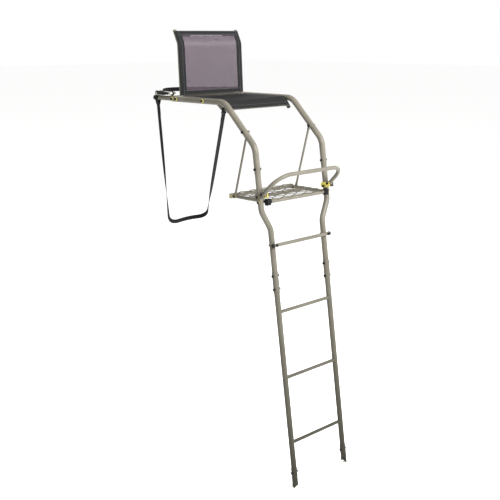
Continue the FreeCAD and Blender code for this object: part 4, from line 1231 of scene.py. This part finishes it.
# Expanded metal deck: zigzag strands, each bonded to the next at its peaks
deck = {
    "across": 86 * mm,
    "deep": 50 * mm,
    "strand": 5.0 * mm,
    "thick": 2.2 * mm,
    "tilt": 24,  # degrees
    "wave": 1.6 * mm,
}


def makeDeck():
    halfWide = middle("platform_side_right").x + 4 * mm
    front = low("platform_side_left").y - 14 * mm
    rear = high("platform_rear_bar").y - 6 * mm
    level = high("platform_side_left").z + 1.6 * mm
    rows = round((rear - front) / (deck["deep"] / 2))
    deep = (rear - front) / rows
    steps = round(2 * halfWide / (deck["across"] / 2))
    step = 2 * halfWide / steps
    reach = deep / 2 - deck["strand"] * 0.36
    runs = []
    for row in range(rows + 1):
        run = []
        for i in range(steps + 1):
            peak = 1 if (i + row) % 2 else -1
            if row in (0, rows):
                peak *= 0.55
            y = front + row * deep + peak * reach
            z = level + deck["wave"] * (0.5 if peak > 0 else -0.5)
            x = i * step - halfWide
            # A short flat at every peak is the bond with the next strand
            flat = step * 0.12
            for shift in (-flat, flat):
                if abs(x + shift) <= halfWide + 0.0001:
                    run.append(Vector((x + shift, y, z)))
        runs.append(run)
    # The strands take the darker coat, which is painted shade
    piece = runsToBars("expandedDeck", runs, deck["strand"], deck["thick"], deck["tilt"], deckShadedCoat)
    settle(piece, "stand", "platform_deck")


def barTree(material):
    # Line mesh to curve, then a flat profile swept along it at a tilt
    tree = newTree("barsAlongRuns", {"Wide": 5 * mm, "Thick": 2 * mm, "Tilt": 0.0})
    source = addNode(tree, "NodeGroupInput")
    curve = addNode(tree, "GeometryNodeMeshToCurve", {"Mesh": source.outputs["Geometry"]})
    curve = curve.outputs["Curve"]
    upright = addNode(tree, "GeometryNodeSetCurveNormal", {"Curve": curve}, mode="Z_UP")
    inputs = {"Curve": upright.outputs["Curve"], "Tilt": source.outputs["Tilt"]}
    tilted = addNode(tree, "GeometryNodeSetCurveTilt", inputs)
    inputs = {"Width": source.outputs["Wide"], "Height": source.outputs["Thick"]}
    flat = addNode(tree, "GeometryNodeCurvePrimitiveQuadrilateral", inputs)
    inputs = {"Curve": flat.outputs["Curve"], "Radius": 0.5 * mm, "Count": 1}
    soft = addNode(tree, "GeometryNodeFilletCurve", inputs, mode="POLY")
    finishTree(tree, alongCurve(tree, tilted, soft), material)
    return tree


def runsToBars(name, runs, wide, thick, tilt, material):
    verts, edges = runMesh(runs)
    settings = {"Wide": wide, "Thick": thick, "Tilt": math.radians(tilt)}
    return runTree(name, verts, edges, barTree(material), settings)


# Welds: a string of overlapping beads round every joint
weld = {
    "bead": 2.1 * mm,
    "step": 1.9 * mm,
    "lean": 8.14,  # the ladder's, degrees
    "rung": 10 * mm,  # radii of the tubes that meet
    "leg": 16 * mm,
    "crossBar": 12.5 * mm,
    "chairBar": 8 * mm,
    "platformBar": 10 * mm,
}


def beadTree(material):
    tree = newTree("weldBeads", {"Bead": 2 * mm})
    source = addNode(tree, "NodeGroupInput")
    inputs = {"Radius": source.outputs["Bead"], "Subdivisions": 2}
    ball = addNode(tree, "GeometryNodeMeshIcoSphere", inputs)
    inputs = {"Min": (0.85, 0.85, 0.85), "Max": (1.2, 1.2, 1.15), "Seed": 4}
    size = addNode(tree, "FunctionNodeRandomValue", inputs, data_type="FLOAT_VECTOR")
    inputs = {
        "Points": source.outputs["Geometry"],
        "Instance": ball.outputs["Mesh"],
        "Scale": size.outputs["Value"],
    }
    beads = addNode(tree, "GeometryNodeInstanceOnPoints", inputs)
    finishTree(tree, beads.outputs["Instances"], material, smooth=True)
    return tree


def weldRing(centre, along, radius, wall, wallAxis):
    # Points round a tube of this radius where it meets a tube of radius wall on wallAxis
    along = Vector(along).normalized()
    wallAxis = Vector(wallAxis).normalized()
    side = wallAxis.cross(along).normalized()
    count = int(2 * math.pi * radius / weld["step"])
    points = []
    for k in range(count):
        angle = 2 * math.pi * k / count
        off = radius * math.sin(angle)
        reach = math.sqrt(max(0, wall * wall - off * off))
        points.append(centre + wallAxis * (radius * math.cos(angle)) + side * off + along * reach)
    return points


def makeWelds():
    lean = math.radians(weld["lean"])
    ladder = (0, math.sin(lean), math.cos(lean))
    legX, platformX = middle("lower_leg_right").x, middle("platform_side_right").x
    joints = [
        ("bottom_rung", legX, "rung", weld["leg"], ladder),
        ("second_rung", legX, "rung", weld["leg"], ladder),
        ("third_rung", legX, "rung", weld["leg"], ladder),
        ("tree_crossbar", -leftX, "crossBar", armRadius, (0, 1, 0)),
        ("seat_front_bar", seatSide, "chairBar", chairRadius, (0, 1, 0)),
        ("seat_rear_bar", seatSide, "chairBar", chairRadius, (0, 1, 0)),
        ("backrest_top_bar", seatSide, "chairBar", chairRadius, (0, 0, 1)),
        ("platform_middle_bar", platformX, "platformBar", weld["platformBar"], (0, 1, 0)),
    ]
    points = []
    for sign in (-1, 1):
        for node, wallX, bar, wall, wallAxis in joints:
            spot = middle(node)
            spot.x = sign * wallX
            points += weldRing(spot, (-sign, 0, 0), weld[bar], wall, wallAxis)
    piece = runTree("welds", points, [], beadTree(taupeCoat), {"Bead": weld["bead"]})
    settle(piece, "stand")


print("stand: camera and light")
makeCamera()
makeLights()
makeFloor()
print("stand: finishes")
finishFrame()
finishBrackets()
print("stand: slings")
makeSlings()

print("stand: straps and their fittings")
makeStabiliserStrap()
makeTreeStrap()
makeFrontHook()
makeRearLoop()
makeAnchor()
print("stand: ratchet")
makeRatchetFrame()
makeSpool()
makeHandle()
print("stand: caps and blocks")
makeArmCaps()
makeRungCaps()
makeSeatPlugs()
makeStopBlock("left")
makeStopBlock("right")
print("stand: deck and welds")
makeDeck()
makeWelds()
